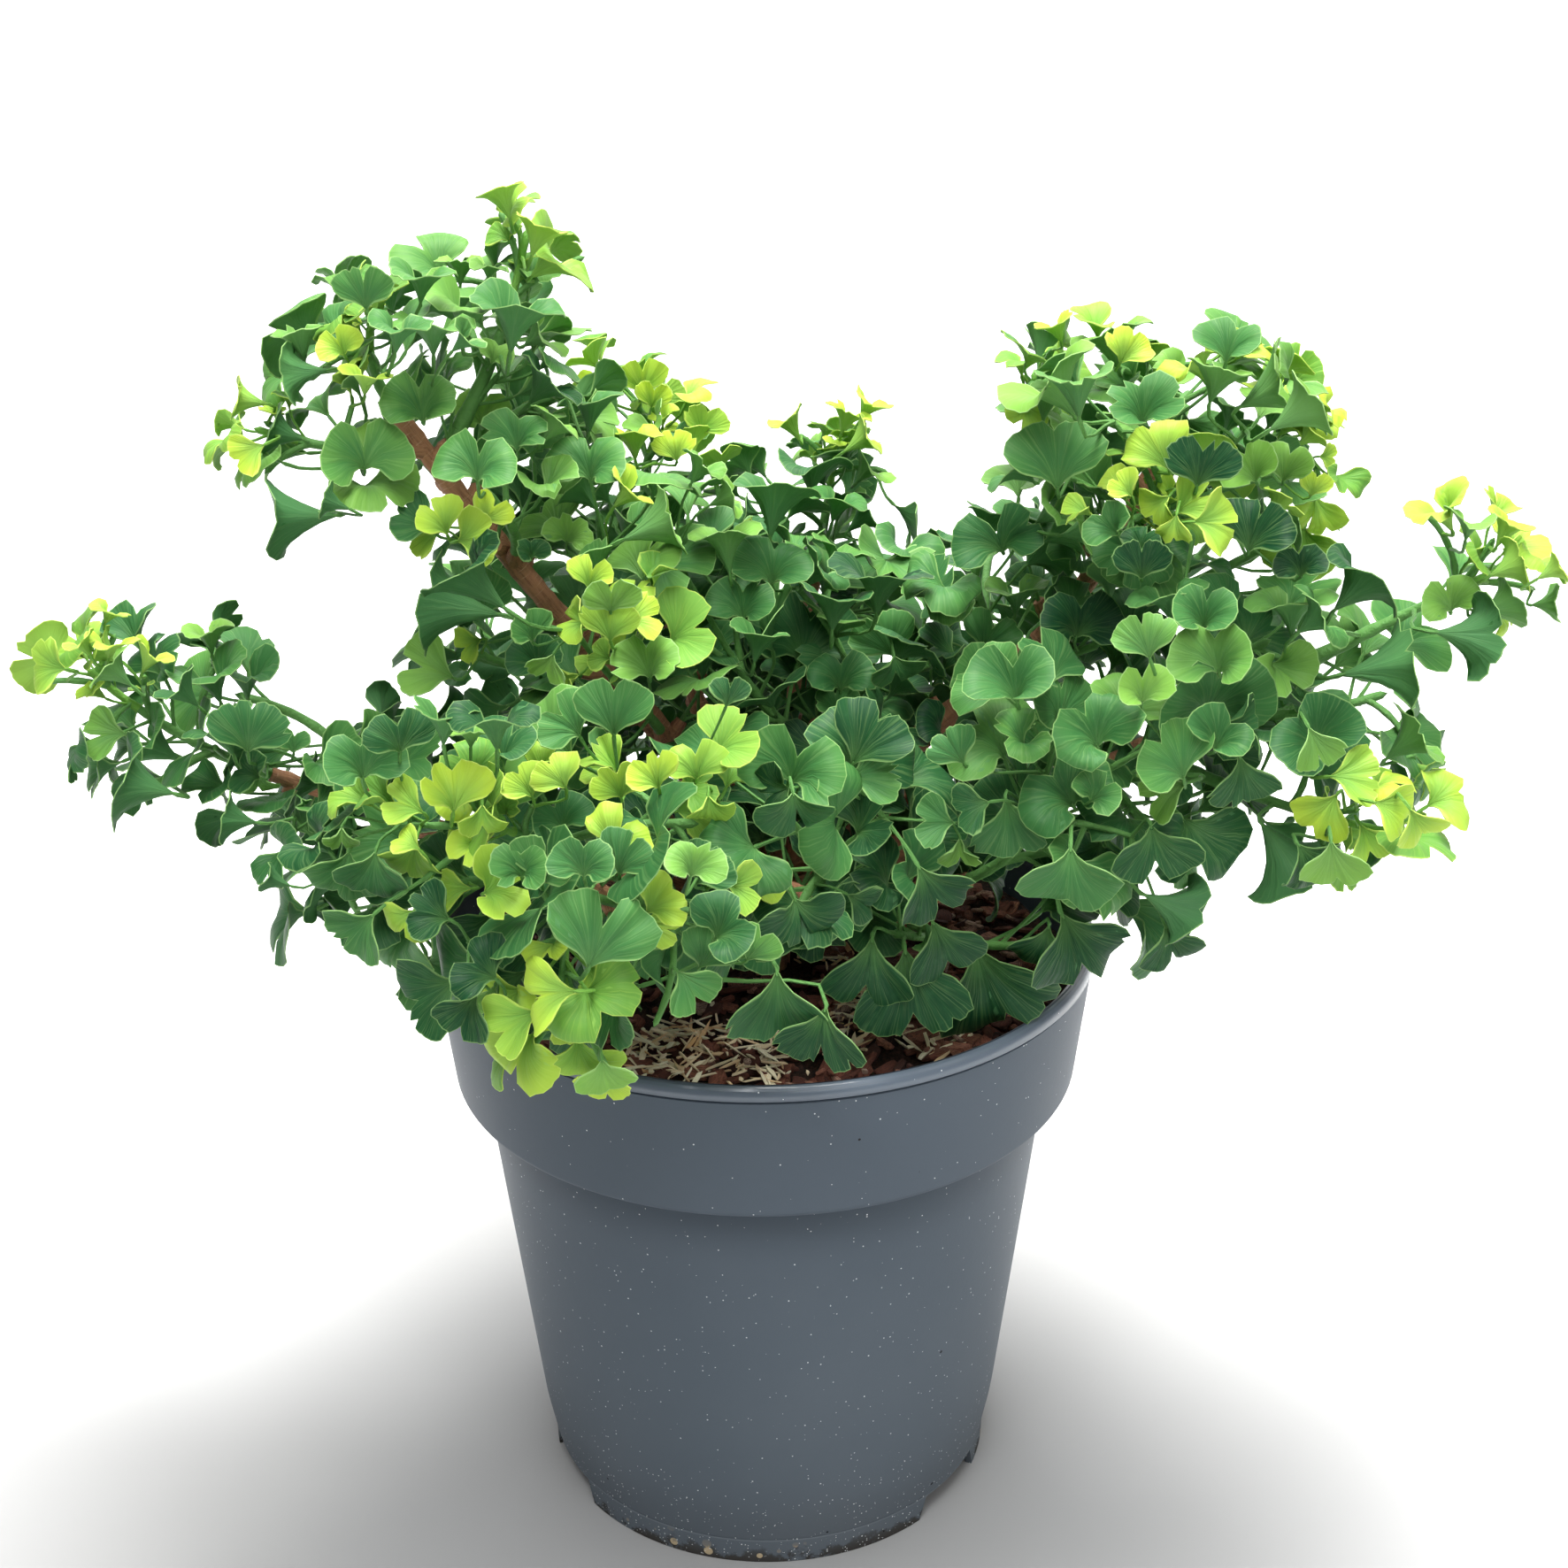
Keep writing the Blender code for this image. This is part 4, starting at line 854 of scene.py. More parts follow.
def point_on(line, share):
    """Point and direction at a share of the length of a line of points."""
    points = [Vector(point) for point in line]
    lengths = [(b - a).length for a, b in zip(points, points[1:])]
    left = share * sum(lengths)
    for a, b, length in zip(points, points[1:], lengths):
        if left <= length or b is points[-1]:
            return a + (b - a) * min(left / length, 1), (b - a).normalized()
        left -= length


def spur_of(spray):
    """Start and heading of a spray's woody spur on the limb's centre line, and its length."""
    limb, share, _, shoots = SPRAYS[spray]
    thick, thin, line = LIMBS[limb]
    start, along = point_on(line, share)
    if share == 1:
        return start, along, 0
    aim = (Vector(shoots[0][0]) - start).normalized()
    heading = (aim - 0.6 * aim.dot(along) * along).normalized() + SPUR_LEAN * UP
    return start, heading.normalized(), thick + (thin - thick) * share + SPUR_LENGTH


def tufts():
    """The leaf tufts' spurs, spiralling out along each limb and leaning up a little."""
    found = []
    for number, (limb, (count, first, last, size)) in enumerate(TUFTS.items()):
        rng = random.Random(5000 + number)
        thick, thin, line = LIMBS[limb]
        phase = rng.uniform(0, math.tau)
        for index in range(count):
            share = first + (last - first) * (index + rng.uniform(0.2, 0.8)) / count
            start, along = point_on(line, share)
            level, steep = frame_across(along)
            turn = phase + index * GOLDEN_ANGLE
            heading = math.cos(turn) * level + math.sin(turn) * steep + SPUR_LEAN * along + SPUR_LEAN * UP
            heading.normalize()
            tip = start + (thick + (thin - thick) * share + rng.uniform(0.002, 0.007)) * heading
            found.append(Tuft(limb, start, tip, heading, size, rng))
    return found


def smooth_line(line, step):
    """A line of points as an even curve through them, with a point every step."""
    points = [Vector(point) for point in line]
    before = 2 * points[0] - points[1]
    after = 2 * points[-1] - points[-2]
    chain = [before] + points + [after]
    curve = []
    for a, b, c, d in zip(chain, chain[1:], chain[2:], chain[3:]):
        count = max(2, round((c - b).length / step))
        for index in range(count):
            t = index / count
            curve.append(0.5 * (2 * b + (c - a) * t + (2 * a - 5 * b + 4 * c - d) * t ** 2
                                + (3 * b - a - 3 * c + d) * t ** 3))
    curve.append(points[-1])
    return curve


def hose(heap, points, radii, sides, mark, lumps=None, blunt=True):
    """A closed tube through points, with a lumps function for its skin, added to a heap."""
    last = len(points) - 1
    level = None
    rows = []
    places = []
    travelled = 0
    for index, (point, radius) in enumerate(zip(points, radii)):
        heading = (points[min(index + 1, last)] - points[max(index - 1, 0)]).normalized()
        if level is None:
            level = frame_across(heading)[0]
        else:
            level = (level - level.dot(heading) * heading).normalized()
        steep = level.cross(heading)
        if index:
            travelled += (point - points[index - 1]).length
        for side in range(sides):
            turn = math.tau * side / sides
            skin = lumps(travelled, turn) if lumps else 0
            rows.append(point + float(radius + skin) * (math.cos(turn) * level + math.sin(turn) * steep))
            places.append((side / sides, travelled * 1000, index / last))
    faces = [(b, a, d, c) for a, b, c, d in ring_faces(last, sides)]
    faces.append(tuple(range(sides)))
    if blunt:
        faces.append(tuple(last * sides + side for side in range(sides))[::-1])
    else:
        rows.append(points[-1] + 1.5 * float(radii[-1]) * (points[-1] - points[-2]).normalized())
        places.append((0.5, travelled * 1000, 1))
        faces += [(last * sides + (side + 1) % sides, last * sides + side, len(rows) - 1)
                  for side in range(sides)]
    heap.add([tuple(row) for row in rows], faces, places, mark)


def add_spur(heap, start, heading, length, rng):
    """A short spur, ringed with the scars of each year's growth and blunt at its end."""
    points = [start + length * step / SPUR_STEPS * heading for step in range(SPUR_STEPS + 1)]
    thin = TWIG_RADIUS + SPUR_COLLAR
    radii = []
    for step in range(SPUR_STEPS + 1):
        share = step / SPUR_STEPS
        ring = SCAR if step % 2 else 0
        radii.append(SPUR_RADIUS + (thin - SPUR_RADIUS) * share ** 1.5 + ring * rng.uniform(0.6, 1.2))
    radii[-1] *= BLUNT_END
    hose(heap, points, radii, SPUR_SIDES, (rng.uniform(0.4, 0.9), 1, 0))


def ginkgo_bark():
    """Reddish-brown bark: fissured along the wood, ringed on the spurs, with grey weathered patches."""
    material, start, shader = new_finish("ginkgo_bark")
    around, along, _, tone, _, old = read_heap(start)
    place = start.node("ShaderNodeTexCoord", out="Object")
    fissures = (around * 22).joined(along * 0.10, tone * 30).noise(1.0, 5.0, 0.7)
    rings = (around * 2).joined(along * 0.9, tone * 9).noise(1.0, 3.0, 0.6)
    weather = place.noise(45.0, 4.0)
    base = tone.blend((0.330, 0.140, 0.068), (0.520, 0.250, 0.130))
    base = (fissures.ease(0.46, 0.66) * 0.60).blend(base, (0.115, 0.050, 0.028))
    base = (rings.ease(0.56, 0.70) * 0.45).blend(base, (0.68, 0.42, 0.25))
    base = (weather.ease(0.55, 0.75) * (old * 0.6 + 0.2)).blend(base, (0.24, 0.180, 0.130))
    start.feed(shader, {"Base Color": base, "Roughness": 0.72 + weather * 0.15,
                        "Normal": (rings * 0.5 - fissures).bump(0.0006)})
    return material


def make_wood(all_tufts):
    """The trunk, the limbs and every spur on them, as one piece."""
    heap = Heap()
    rng = random.Random(21)

    def knobbly(travelled, turn):
        """How far the bark stands out, in rings along the limb and ridges round it."""
        rings = 0.00035 * math.sin(travelled * 900) * math.sin(travelled * 210 + 1.3)
        return rings + 0.0005 * math.sin(3 * turn + travelled * 130) * math.sin(travelled * 95 + turn)

    line = smooth_line(TRUNK_LINE, WOOD_STEP)
    radii = np.interp(np.linspace(0, 1, len(line)), np.linspace(0, 1, len(TRUNK_RADII)), TRUNK_RADII)
    hose(heap, line, radii * TRUNK_SLENDER, WOOD_SIDES + 4, (0.35, 0, 1))
    for thick, thin, points in LIMBS.values():
        line = smooth_line(points, WOOD_STEP)
        radii = np.linspace(thick, thin, len(line)) * SLENDER
        hose(heap, line, radii, WOOD_SIDES, (rng.uniform(0.35, 0.8), 0, 0.4), knobbly)
    for spray in SPRAYS:
        start, heading, length = spur_of(spray)
        if length:
            add_spur(heap, start, heading, length, rng)
    for tuft in all_tufts:
        add_spur(heap, tuft.start, tuft.heading, (tuft.tip - tuft.start).length, rng)
    show("trunk_limbs_and_spurs", heap.mesh("wood"), ginkgo_bark(), ["trunk_and_limbs"], 60)


ALL_TUFTS = tufts()
make_wood(ALL_TUFTS)


# The leaves. Thick waxy fans on long stalks, split in the middle and scalloped round the rim, many of
# them rolled into cups and trumpets. Every blade of the CAD sprays is drawn again here by the same
# rule and the same random draws, and the tufts and the gaps on the shoots get more of them.
TWIG_TIP_RADIUS = 0.0018
TWIG_SIDES = 4
TWIG_STEPS = 2
FORK = 0.3
FORK_THINNING = 0.8
YOUNG_FROM = 0.72
BLADE_RADIUS = 0.0310
YOUNG_BLADE_RADIUS = 0.0240
STALK_LENGTH = 0.030
YOUNG_STALK_LENGTH = 0.021
STALK_WIDTH = 0.0018
BARE_STALK = 0.0048
BLADE_THICKNESS = 0.0008
BLADE_RIM = (-0.94, -0.42, 0, 0.42, 0.94)
NOTCH_SPREAD = 0.09
CORNER = 0.72
CORNER_DROP = 0.34
LEAF_CLEARANCE = 0.0012
ATTEMPTS = 16
CROWN_CENTRE = Vector((0.02, 0.0, 0.33))
CROWN_LOW = 0.34
CROWN_DEPTH = 0.2
STALK_VARIES = (0.8, 1.25)
STALK_RISE = 0.18
DROOP = (0.0, 0.5)
SIZE_VARIES = (0.85, 1.12)
SAG = (0, 0.12)
RUFFLE = (0.02, 0.06)
WAVES = (3.5, 6.5)
NOTCH = (0.28, 0.46)
YOUNG_FUNNELS = 0.6
LOW_FUNNELS = 0.25
FUNNELS_AND_CUPS = 0.72
POT_SEGMENTS = 30
POT_GUARD = ((0, 0.2), (NECK_RADIUS, 0.2), (COLLAR_RADIUS, COLLAR_BOTTOM), (RIM_RADIUS, POT_HEIGHT),
             (RIM_RADIUS - BEAD, POT_HEIGHT), (RIM_RADIUS - BEAD, MULCH_TOP), (0, MULCH_TOP))

# How a blade curls: half angle of its cone, added flare at the rim and half spread, all in degrees
FUNNEL = ((42, 52), (30, 60), (70, 84))
CUP = ((54, 66), (15, 35), (78, 92))
OPEN_FAN = ((70, 84), (0, 14), (84, 102))

Leaf = namedtuple("Leaf", "root joint rib face radius spread cone flare sag ruffle waves phase notch")
Solid = namedtuple("Solid", "centre reach tree")
Shoot = namedtuple("Shoot", "name path rng size leaves young close")


def blade_reach(leaf, u):
    """Length of the blade at u from -1 to 1 across the fan: a middle notch and rounded corners."""
    reach = 1 - leaf.notch * math.exp(-(u / NOTCH_SPREAD) ** 2)
    if abs(u) > CORNER:
        reach *= 1 - CORNER_DROP * ((abs(u) - CORNER) / (1 - CORNER)) ** 2
    return leaf.radius * reach


def blade_point(leaf, u, v):
    """Point of the blade's middle surface, u across the fan and v from the stalk to the rim."""
    reach = v * blade_reach(leaf, u)
    part = reach / leaf.radius
    slope = leaf.cone + 0.5 * leaf.flare * part
    turn = u * leaf.spread / math.sin(leaf.cone)
    side = leaf.rib.cross(leaf.face)
    axis = math.cos(leaf.cone) * leaf.rib + math.sin(leaf.cone) * leaf.face
    across = math.sin(leaf.cone) * leaf.rib - math.cos(leaf.cone) * leaf.face
    spoke = math.cos(turn) * across + math.sin(turn) * side
    outward = math.cos(slope) * spoke - math.sin(slope) * axis
    wave = leaf.ruffle * part ** 2 * math.sin(leaf.waves * u + leaf.phase)
    point = leaf.joint + reach * (math.cos(slope) * axis + math.sin(slope) * spoke)
    return point + leaf.radius * wave * outward - leaf.radius * leaf.sag * part ** 2 * leaf.face


def leaf_shell(leaf, thickness, bare_stalk):
    """The few-sided shell of stalk and blade that the leaf's place is tested with."""
    side = leaf.rib.cross(leaf.face)
    heading = (leaf.joint - leaf.root).normalized()
    foot_side = (side - side.dot(heading) * heading).normalized() * STALK_WIDTH / 2
    side *= STALK_WIDTH / 2
    foot = leaf.root + bare_stalk * heading
    line = [foot - foot_side, leaf.joint - side]
    line += [blade_point(leaf, u, 1) for u in BLADE_RIM]
    line += [leaf.joint + side, foot + foot_side]
    count = len(line)
    notch_point = 2 + len(BLADE_RIM) // 2
    right = count - 2
    faces = [(0, 1, count - 1), (1, right, count - 1), (1, notch_point, right)]
    faces += [(1, i, i + 1) for i in range(2, notch_point)]
    faces += [(right, i, i + 1) for i in range(notch_point, right - 1)]
    normals = [Vector() for _ in line]
    for face in faces:
        a, b, c = [line[i] for i in face]
        for corner in face:
            normals[corner] += (b - a).cross(c - a)
    points = []
    for height in (thickness / 2, -thickness / 2):
        points += [point + height * normal.normalized() for point, normal in zip(line, normals)]
    triangles = faces + [(c + count, b + count, a + count) for a, b, c in faces]
    for i in range(count):
        j = (i + 1) % count
        triangles += [(i, i + count, j), (j, i + count, j + count)]
    return points, triangles


def solid_of(points, triangles):
    """Points and triangles as a solid, which leaves stay out of."""
    centre = sum(points, Vector()) / len(points)
    reach = max((point - centre).length for point in points)
    return Solid(centre, reach, BVHTree.FromPolygons(points, triangles))


def solid_of_mesh(bm):
    """A bmesh as a solid that leaves stay out of."""
    bm.verts.index_update()
    points = [vert.co.copy() for vert in bm.verts]
    return solid_of(points, [[vert.index for vert in face.verts] for face in bm.faces])


def solid_of_node(name):
    """A CAD node as a solid that leaves stay out of."""
    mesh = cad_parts[name].data
    points = [vert.co.copy() for vert in mesh.vertices]
    return solid_of(points, [list(face.vertices) for face in mesh.polygons])


def leaf_solid(leaf, thickness=BLADE_THICKNESS, bare_stalk=BARE_STALK):
    """A leaf as a solid, with a length of its stalk left bare at the root."""
    return solid_of(*leaf_shell(leaf, thickness, bare_stalk))


def is_clear(solid, others):
    """Whether a solid crosses none of the others. Only those within reach of it are tested."""
    for other in others:
        near = (solid.centre - other.centre).length < solid.reach + other.reach
        if near and solid.tree.overlap(other.tree):
            return False
    return True


def between_0_and_1(value):
    return min(max(value, 0), 1)


def height_in_crown(point):
    """Height of a place from 0 low in the crown to 1 in its upper part."""
    return between_0_and_1((point.z - CROWN_LOW) / CROWN_DEPTH)


def grow_leaf(rng, start, along, turn, lift, radius, stalk, young, habit=(FUNNEL, CUP, OPEN_FAN),
              keen=0.0):
    """Draw one leaf at a point of a twig, leaving it in the given turn about the twig."""
    level, steep = frame_across(along)
    sideways = math.cos(turn) * level + math.sin(turn) * steep
    heading = (math.cos(lift) * along + math.sin(lift) * sideways + STALK_RISE * UP).normalized()
    joint = start + stalk * rng.uniform(*STALK_VARIES) * heading
    outward = joint - CROWN_CENTRE
    outward.z *= 0.35
    outward.normalize()
    high = height_in_crown(joint)
    droop = 0 if young else rng.uniform(*DROOP) * (1 - 0.7 * high)
    rib = (heading - droop * UP).normalized()
    jitter = Vector((rng.uniform(-1, 1), rng.uniform(-1, 1), rng.uniform(-1, 1)))
    face = 0.7 * UP + (0.95 - 0.4 * high) * outward + 0.4 * jitter - 0.35 * along
    face -= face.dot(rib) * rib
    if face.length < 0.15:
        face = steep - steep.dot(rib) * rib
    face.normalize()
    kind = rng.random()
    form = habit[2]
    if kind < (YOUNG_FUNNELS if young else LOW_FUNNELS + 0.3 * high) + keen:
        form = habit[0]
    elif kind < FUNNELS_AND_CUPS:
        form = habit[1]
    cone, flare, spread = [math.radians(rng.uniform(*limits)) for limits in form]
    return Leaf(root=start, joint=joint, rib=rib, face=face, radius=radius * rng.uniform(*SIZE_VARIES),
                spread=spread, cone=cone, flare=flare, sag=rng.uniform(*SAG),
                ruffle=rng.uniform(*RUFFLE), waves=rng.uniform(*WAVES),
                phase=rng.uniform(0, math.tau), notch=rng.uniform(*NOTCH))


def leaves_along(shoot, first, last, count, young, solids):
    """Leaves on a golden-angle spiral up a twig, each drawn again until it stands clear."""
    rng = shoot.rng
    radius = shoot.size * (YOUNG_BLADE_RADIUS if young else BLADE_RADIUS)
    stalk = shoot.size * (YOUNG_STALK_LENGTH if young else STALK_LENGTH)
    phase = rng.uniform(0, math.tau)
    grown = []
    for index in range(count):
        share = first + (last - first) * (index + 0.5) / count
        start = shoot.path(share)
        along = heading_at(shoot.path, share)
        for attempt in range(ATTEMPTS):
            turn = phase + index * GOLDEN_ANGLE + 0.12 * attempt * rng.uniform(-1, 1)
            lift = math.radians(66 - 30 * share ** 2) + rng.uniform(-0.2, 0.2) - 0.02 * attempt
            leaf = grow_leaf(rng, start, along, turn, lift, radius, stalk, young)
            if is_clear(leaf_solid(leaf, BLADE_THICKNESS + LEAF_CLEARANCE), solids):
                solids.append(leaf_solid(leaf))
                grown.append(leaf)
                break
    return grown


def arc(start, heading, end):
    """A curve that leaves the start along a heading and bends over to the end."""
    control = start + 0.5 * (end - start).length * heading
    return lambda share: start.lerp(control, share).lerp(control.lerp(end, share), share)


def heading_at(path, share):
    """Direction of a curve at a share of it."""
    return (path(share + 0.01) - path(share - 0.01)).normalized()


def twig_solid(shoot, first, last, thick, thin, pointed):
    """The CAD's few-sided twig, which leaves stay out of."""
    shares = [first + (last - first) * step / TWIG_STEPS for step in range(TWIG_STEPS + 1)]
    points = [shoot.path(share) for share in shares]
    headings = [heading_at(shoot.path, share) for share in shares]
    radii = [thick + (thin - thick) * step / TWIG_STEPS for step in range(TWIG_STEPS + 1)]
    level, _ = frame_across(headings[0])
    corners = []
    for point, heading, radius in zip(points, headings, radii):
        level = (level - level.dot(heading) * heading).normalized()
        steep = level.cross(heading)
        turns = [math.tau * side / TWIG_SIDES for side in range(TWIG_SIDES)]
        corners += [point + radius * (math.cos(turn) * level + math.sin(turn) * steep) for turn in turns]
    faces = ring_faces(TWIG_STEPS, TWIG_SIDES) + [(3, 2, 1, 0)]
    end = TWIG_STEPS * TWIG_SIDES
    if pointed:
        corners.append(points[-1] + 1.6 * radii[-1] * headings[-1])
        faces += [(end + side, end + (side + 1) % TWIG_SIDES, end + TWIG_SIDES) for side in range(TWIG_SIDES)]
    else:
        faces.append((end, end + 1, end + 2, end + 3))
    return solid_of(corners, faces)


def shoots_of(number, spray):
    """The shoots of a spray, the first one from its spur and the others forking from that."""
    wood, heading, length = spur_of(spray)
    size = SPRAYS[spray][2]
    shoots = []
    for index, (tip, leaves, young) in enumerate(SPRAYS[spray][3]):
        start = wood + (length + GAP) * heading
        if shoots:
            start = shoots[0].path(FORK)
            heading = (Vector(tip) - start).normalized() + 0.4 * heading_at(shoots[0].path, FORK)
            heading.normalize()
        path = arc(start, heading, Vector(tip))
        rng = random.Random(100 * number + index)
        shoots.append(Shoot(spray, path, rng, size, leaves, young, YOUNG_FROM if young else 1.0))
    return shoots


def grow_crown():
    """Every leaf of the CAD's sprays and young tips, by the CAD's rule, in the CAD's order."""
    shoots = [shoot for number, spray in enumerate(SPRAYS) for shoot in shoots_of(number, spray)]
    solids = [solid_of_mesh(turned(POT_GUARD, POT_SEGMENTS)), solid_of_node("bark_mulch"),
              solid_of_node("trunk_and_limbs")]
    grown = []
    sprays = set()
    for shoot in shoots:
        thick = TWIG_RADIUS * (FORK_THINNING if shoot.name in sprays else 1)
        solids.append(twig_solid(shoot, 0, shoot.close, thick, TWIG_TIP_RADIUS, not shoot.young))
        sprays.add(shoot.name)
    for shoot in shoots:
        green = leaves_along(shoot, 0.25, shoot.close - 0.04, shoot.leaves, False, solids)
        lime = []
        if shoot.young:
            length = (shoot.path(1) - shoot.path(shoot.close)).length
            first = shoot.close + GAP / length * (1 - shoot.close)
            solids.append(twig_solid(shoot, first, 1, TWIG_TIP_RADIUS, TWIG_TIP_RADIUS - 0.0002, True))
            lime = leaves_along(shoot, first + 0.03, 1.0, shoot.young, True, solids)
        grown.append((shoot, green, lime))
    return grown, solids[:3]


# The finished form of a blade: how finely it is drawn, and what the rim, the margin and the stalk add
FINE_FROM = 0.0175
FINE_ROWS = (0.05, 0.26, 0.50, 0.73, 0.90, 1.0)
PLAIN_ROWS = (0.06, 0.40, 0.72, 1.0)
LOBE_STEPS = (0.28, 0.72, 1.0)
THIN_BLADE = 0.00042
STALK_SIDES = 5
STALK_STEPS = 4
STALK_RADII = (0.00125, 0.00092, 0.00080, 0.00085, 0.00105, 0.00045)
STALK_INTO_BLADE = 0.10
WIDEST_TURN = math.radians(168)
NARROW_CONE = math.radians(60)
FOLD_FROM = 0.62
LOBE_WIDTHS = (0.7, 1.3)
SCALLOP = (0.010, 0.034)
SPLIT_CHANCE = 0.09
SPLIT_DEPTH = (0.06, 0.20)
SHOOT_SIDES = 9
SHOOT_STEP = 0.004
SWELLING = 0.00028
Detail = namedtuple("Detail", "lip sway frill frills phase wing tone")


def draw_detail(rng, leaf, tone):
    """What is particular to one blade: how its rim flares and waves, and how its sides lift."""
    narrow = leaf.cone < NARROW_CONE
    return Detail(lip=rng.uniform(0.55, 1.35) if narrow else rng.uniform(-0.3, 0.9),
                  sway=rng.uniform(0.4, 1.0), frill=rng.uniform(0.015, 0.045), frills=rng.uniform(9, 16),
                  phase=rng.uniform(0, math.tau), wing=0 if narrow else rng.uniform(0.0, 0.35), tone=tone)


def lobed_rim(rng, leaf, lobes):
    """Places u across a blade, and its share of the full length at each: lobes with a cusp between
    them, here and there a deeper split, the notch in the middle and the rounded corners."""
    halves = []
    for side in (-1, 1):
        bounds = np.cumsum([0] + [rng.uniform(*LOBE_WIDTHS) for _ in range(lobes)])
        bounds /= bounds[-1]
        scallop = rng.uniform(*SCALLOP)
        places, reach = [], []
        split = 0
        for low, high in zip(bounds, bounds[1:]):
            before = split
            split = rng.uniform(*SPLIT_DEPTH) if rng.random() < SPLIT_CHANCE and high < 0.9 else 0
            for step in LOBE_STEPS:
                crown = math.sin(math.pi * step) ** 0.6 if step < 1 else 0
                dip = scallop * (1 - crown) + (before * 0.12 if step == LOBE_STEPS[0] else 0)
                dip += split * (0.12 if step == LOBE_STEPS[-2] else 1 if step == 1 else 0)
                u = low + (high - low) * step
                places.append(side * u)
                reach.append(1 - dip)
        halves.append((places, reach))
    (left, left_reach), (right, right_reach) = halves
    u = np.array(left[::-1] + [0.0] + right)
    reach = np.array(left_reach[::-1] + [1.0] + right_reach)
    reach -= leaf.notch * np.exp(-(u / rng.uniform(0.05, 0.13)) ** 2)
    outer = np.clip((np.abs(u) - CORNER) / (1 - CORNER), 0, 1)
    return u, reach * (1 - CORNER_DROP * outer ** 2)


def sheet_faces(columns, rows):
    """Faces of a closed two-sided sheet: the points of its upper face by rows, then the lower ones."""
    index = np.arange(rows * columns).reshape(rows, columns)
    quads = np.stack([index[:-1, :-1], index[:-1, 1:], index[1:, 1:], index[1:, :-1]], -1).reshape(-1, 4)
    under = rows * columns
    rim = np.concatenate([index[0], index[1:, -1], index[-1, -2::-1], index[-2:0:-1, 0]])
    following = np.roll(rim, -1)
    edge = np.stack([following, rim, rim + under, following + under], -1)
    return np.concatenate([quads, quads[:, ::-1] + under, edge])[:, ::-1]


SHEETS = {}


def fine_blade(leaf, detail, u, reach, rows):
    """Points on both faces of the blade, and each point's distance from the margin in mm."""
    v = np.array(rows)[:, None]
    part = v * reach[None, :]
    half = min(leaf.spread / math.sin(leaf.cone), WIDEST_TURN)
    turn = u[None, :] * half * (0.40 + 0.60 * np.minimum(v / 0.8, 1) ** 0.8)
    fold = np.clip((part - FOLD_FROM) / (1 - FOLD_FROM), 0, 1) ** 1.3
    sway = 1 + detail.sway * np.sin(leaf.waves * u + detail.phase)[None, :]
    slope = leaf.cone * (0.55 + 0.45 * np.minimum(part / 0.5, 1)) + 1.4 * leaf.flare * part ** 2.5
    slope = np.minimum(slope, math.radians(95)) + detail.lip * fold * sway
    step = np.diff(part, axis=0, prepend=0)
    middle_slope = 0.5 * (slope + np.concatenate([slope[:1], slope[:-1]]))
    height = np.cumsum(step * np.cos(middle_slope), axis=0)
    radius = np.cumsum(step * np.sin(middle_slope), axis=0)
    rib, face = np.array(leaf.rib), np.array(leaf.face)
    side = np.cross(rib, face)
    axis = math.cos(leaf.cone) * rib + math.sin(leaf.cone) * face
    across = math.sin(leaf.cone) * rib - math.cos(leaf.cone) * face
    spoke = np.cos(turn)[..., None] * across + np.sin(turn)[..., None] * side
    outward = np.cos(slope)[..., None] * spoke - np.sin(slope)[..., None] * axis
    wave = leaf.ruffle * part ** 2 * np.sin(leaf.waves * u + leaf.phase)[None, :]
    wave += detail.frill * part ** 2 * np.sin(detail.frills * u + detail.phase)[None, :]
    lift = detail.wing * np.abs(u)[None, :] ** 2.5 * part ** 1.5 - leaf.sag * part ** 2
    grid = np.array(leaf.joint) + leaf.radius * (height[..., None] * axis + radius[..., None] * spoke
                                                 + wave[..., None] * outward + lift[..., None] * face)
    normal = np.cross(np.gradient(grid, axis=1), np.gradient(grid, axis=0)).reshape(-1, 3)
    normal /= np.maximum(np.linalg.norm(normal, axis=1), 1e-12)[:, None]
    flip = -np.sign((normal * outward.reshape(-1, 3)).sum())
    middle = grid.reshape(-1, 3)
    aside = THIN_BLADE / 2 * flip * normal
    points = np.concatenate([middle + aside, middle - aside])
    from_rim = (1 - v) * reach[None, :]
    from_side = (1 - np.abs(u))[None, :] * radius * half
    edge = 1000 * leaf.radius * np.minimum(from_rim, from_side)
    return points, edge.ravel(), flip


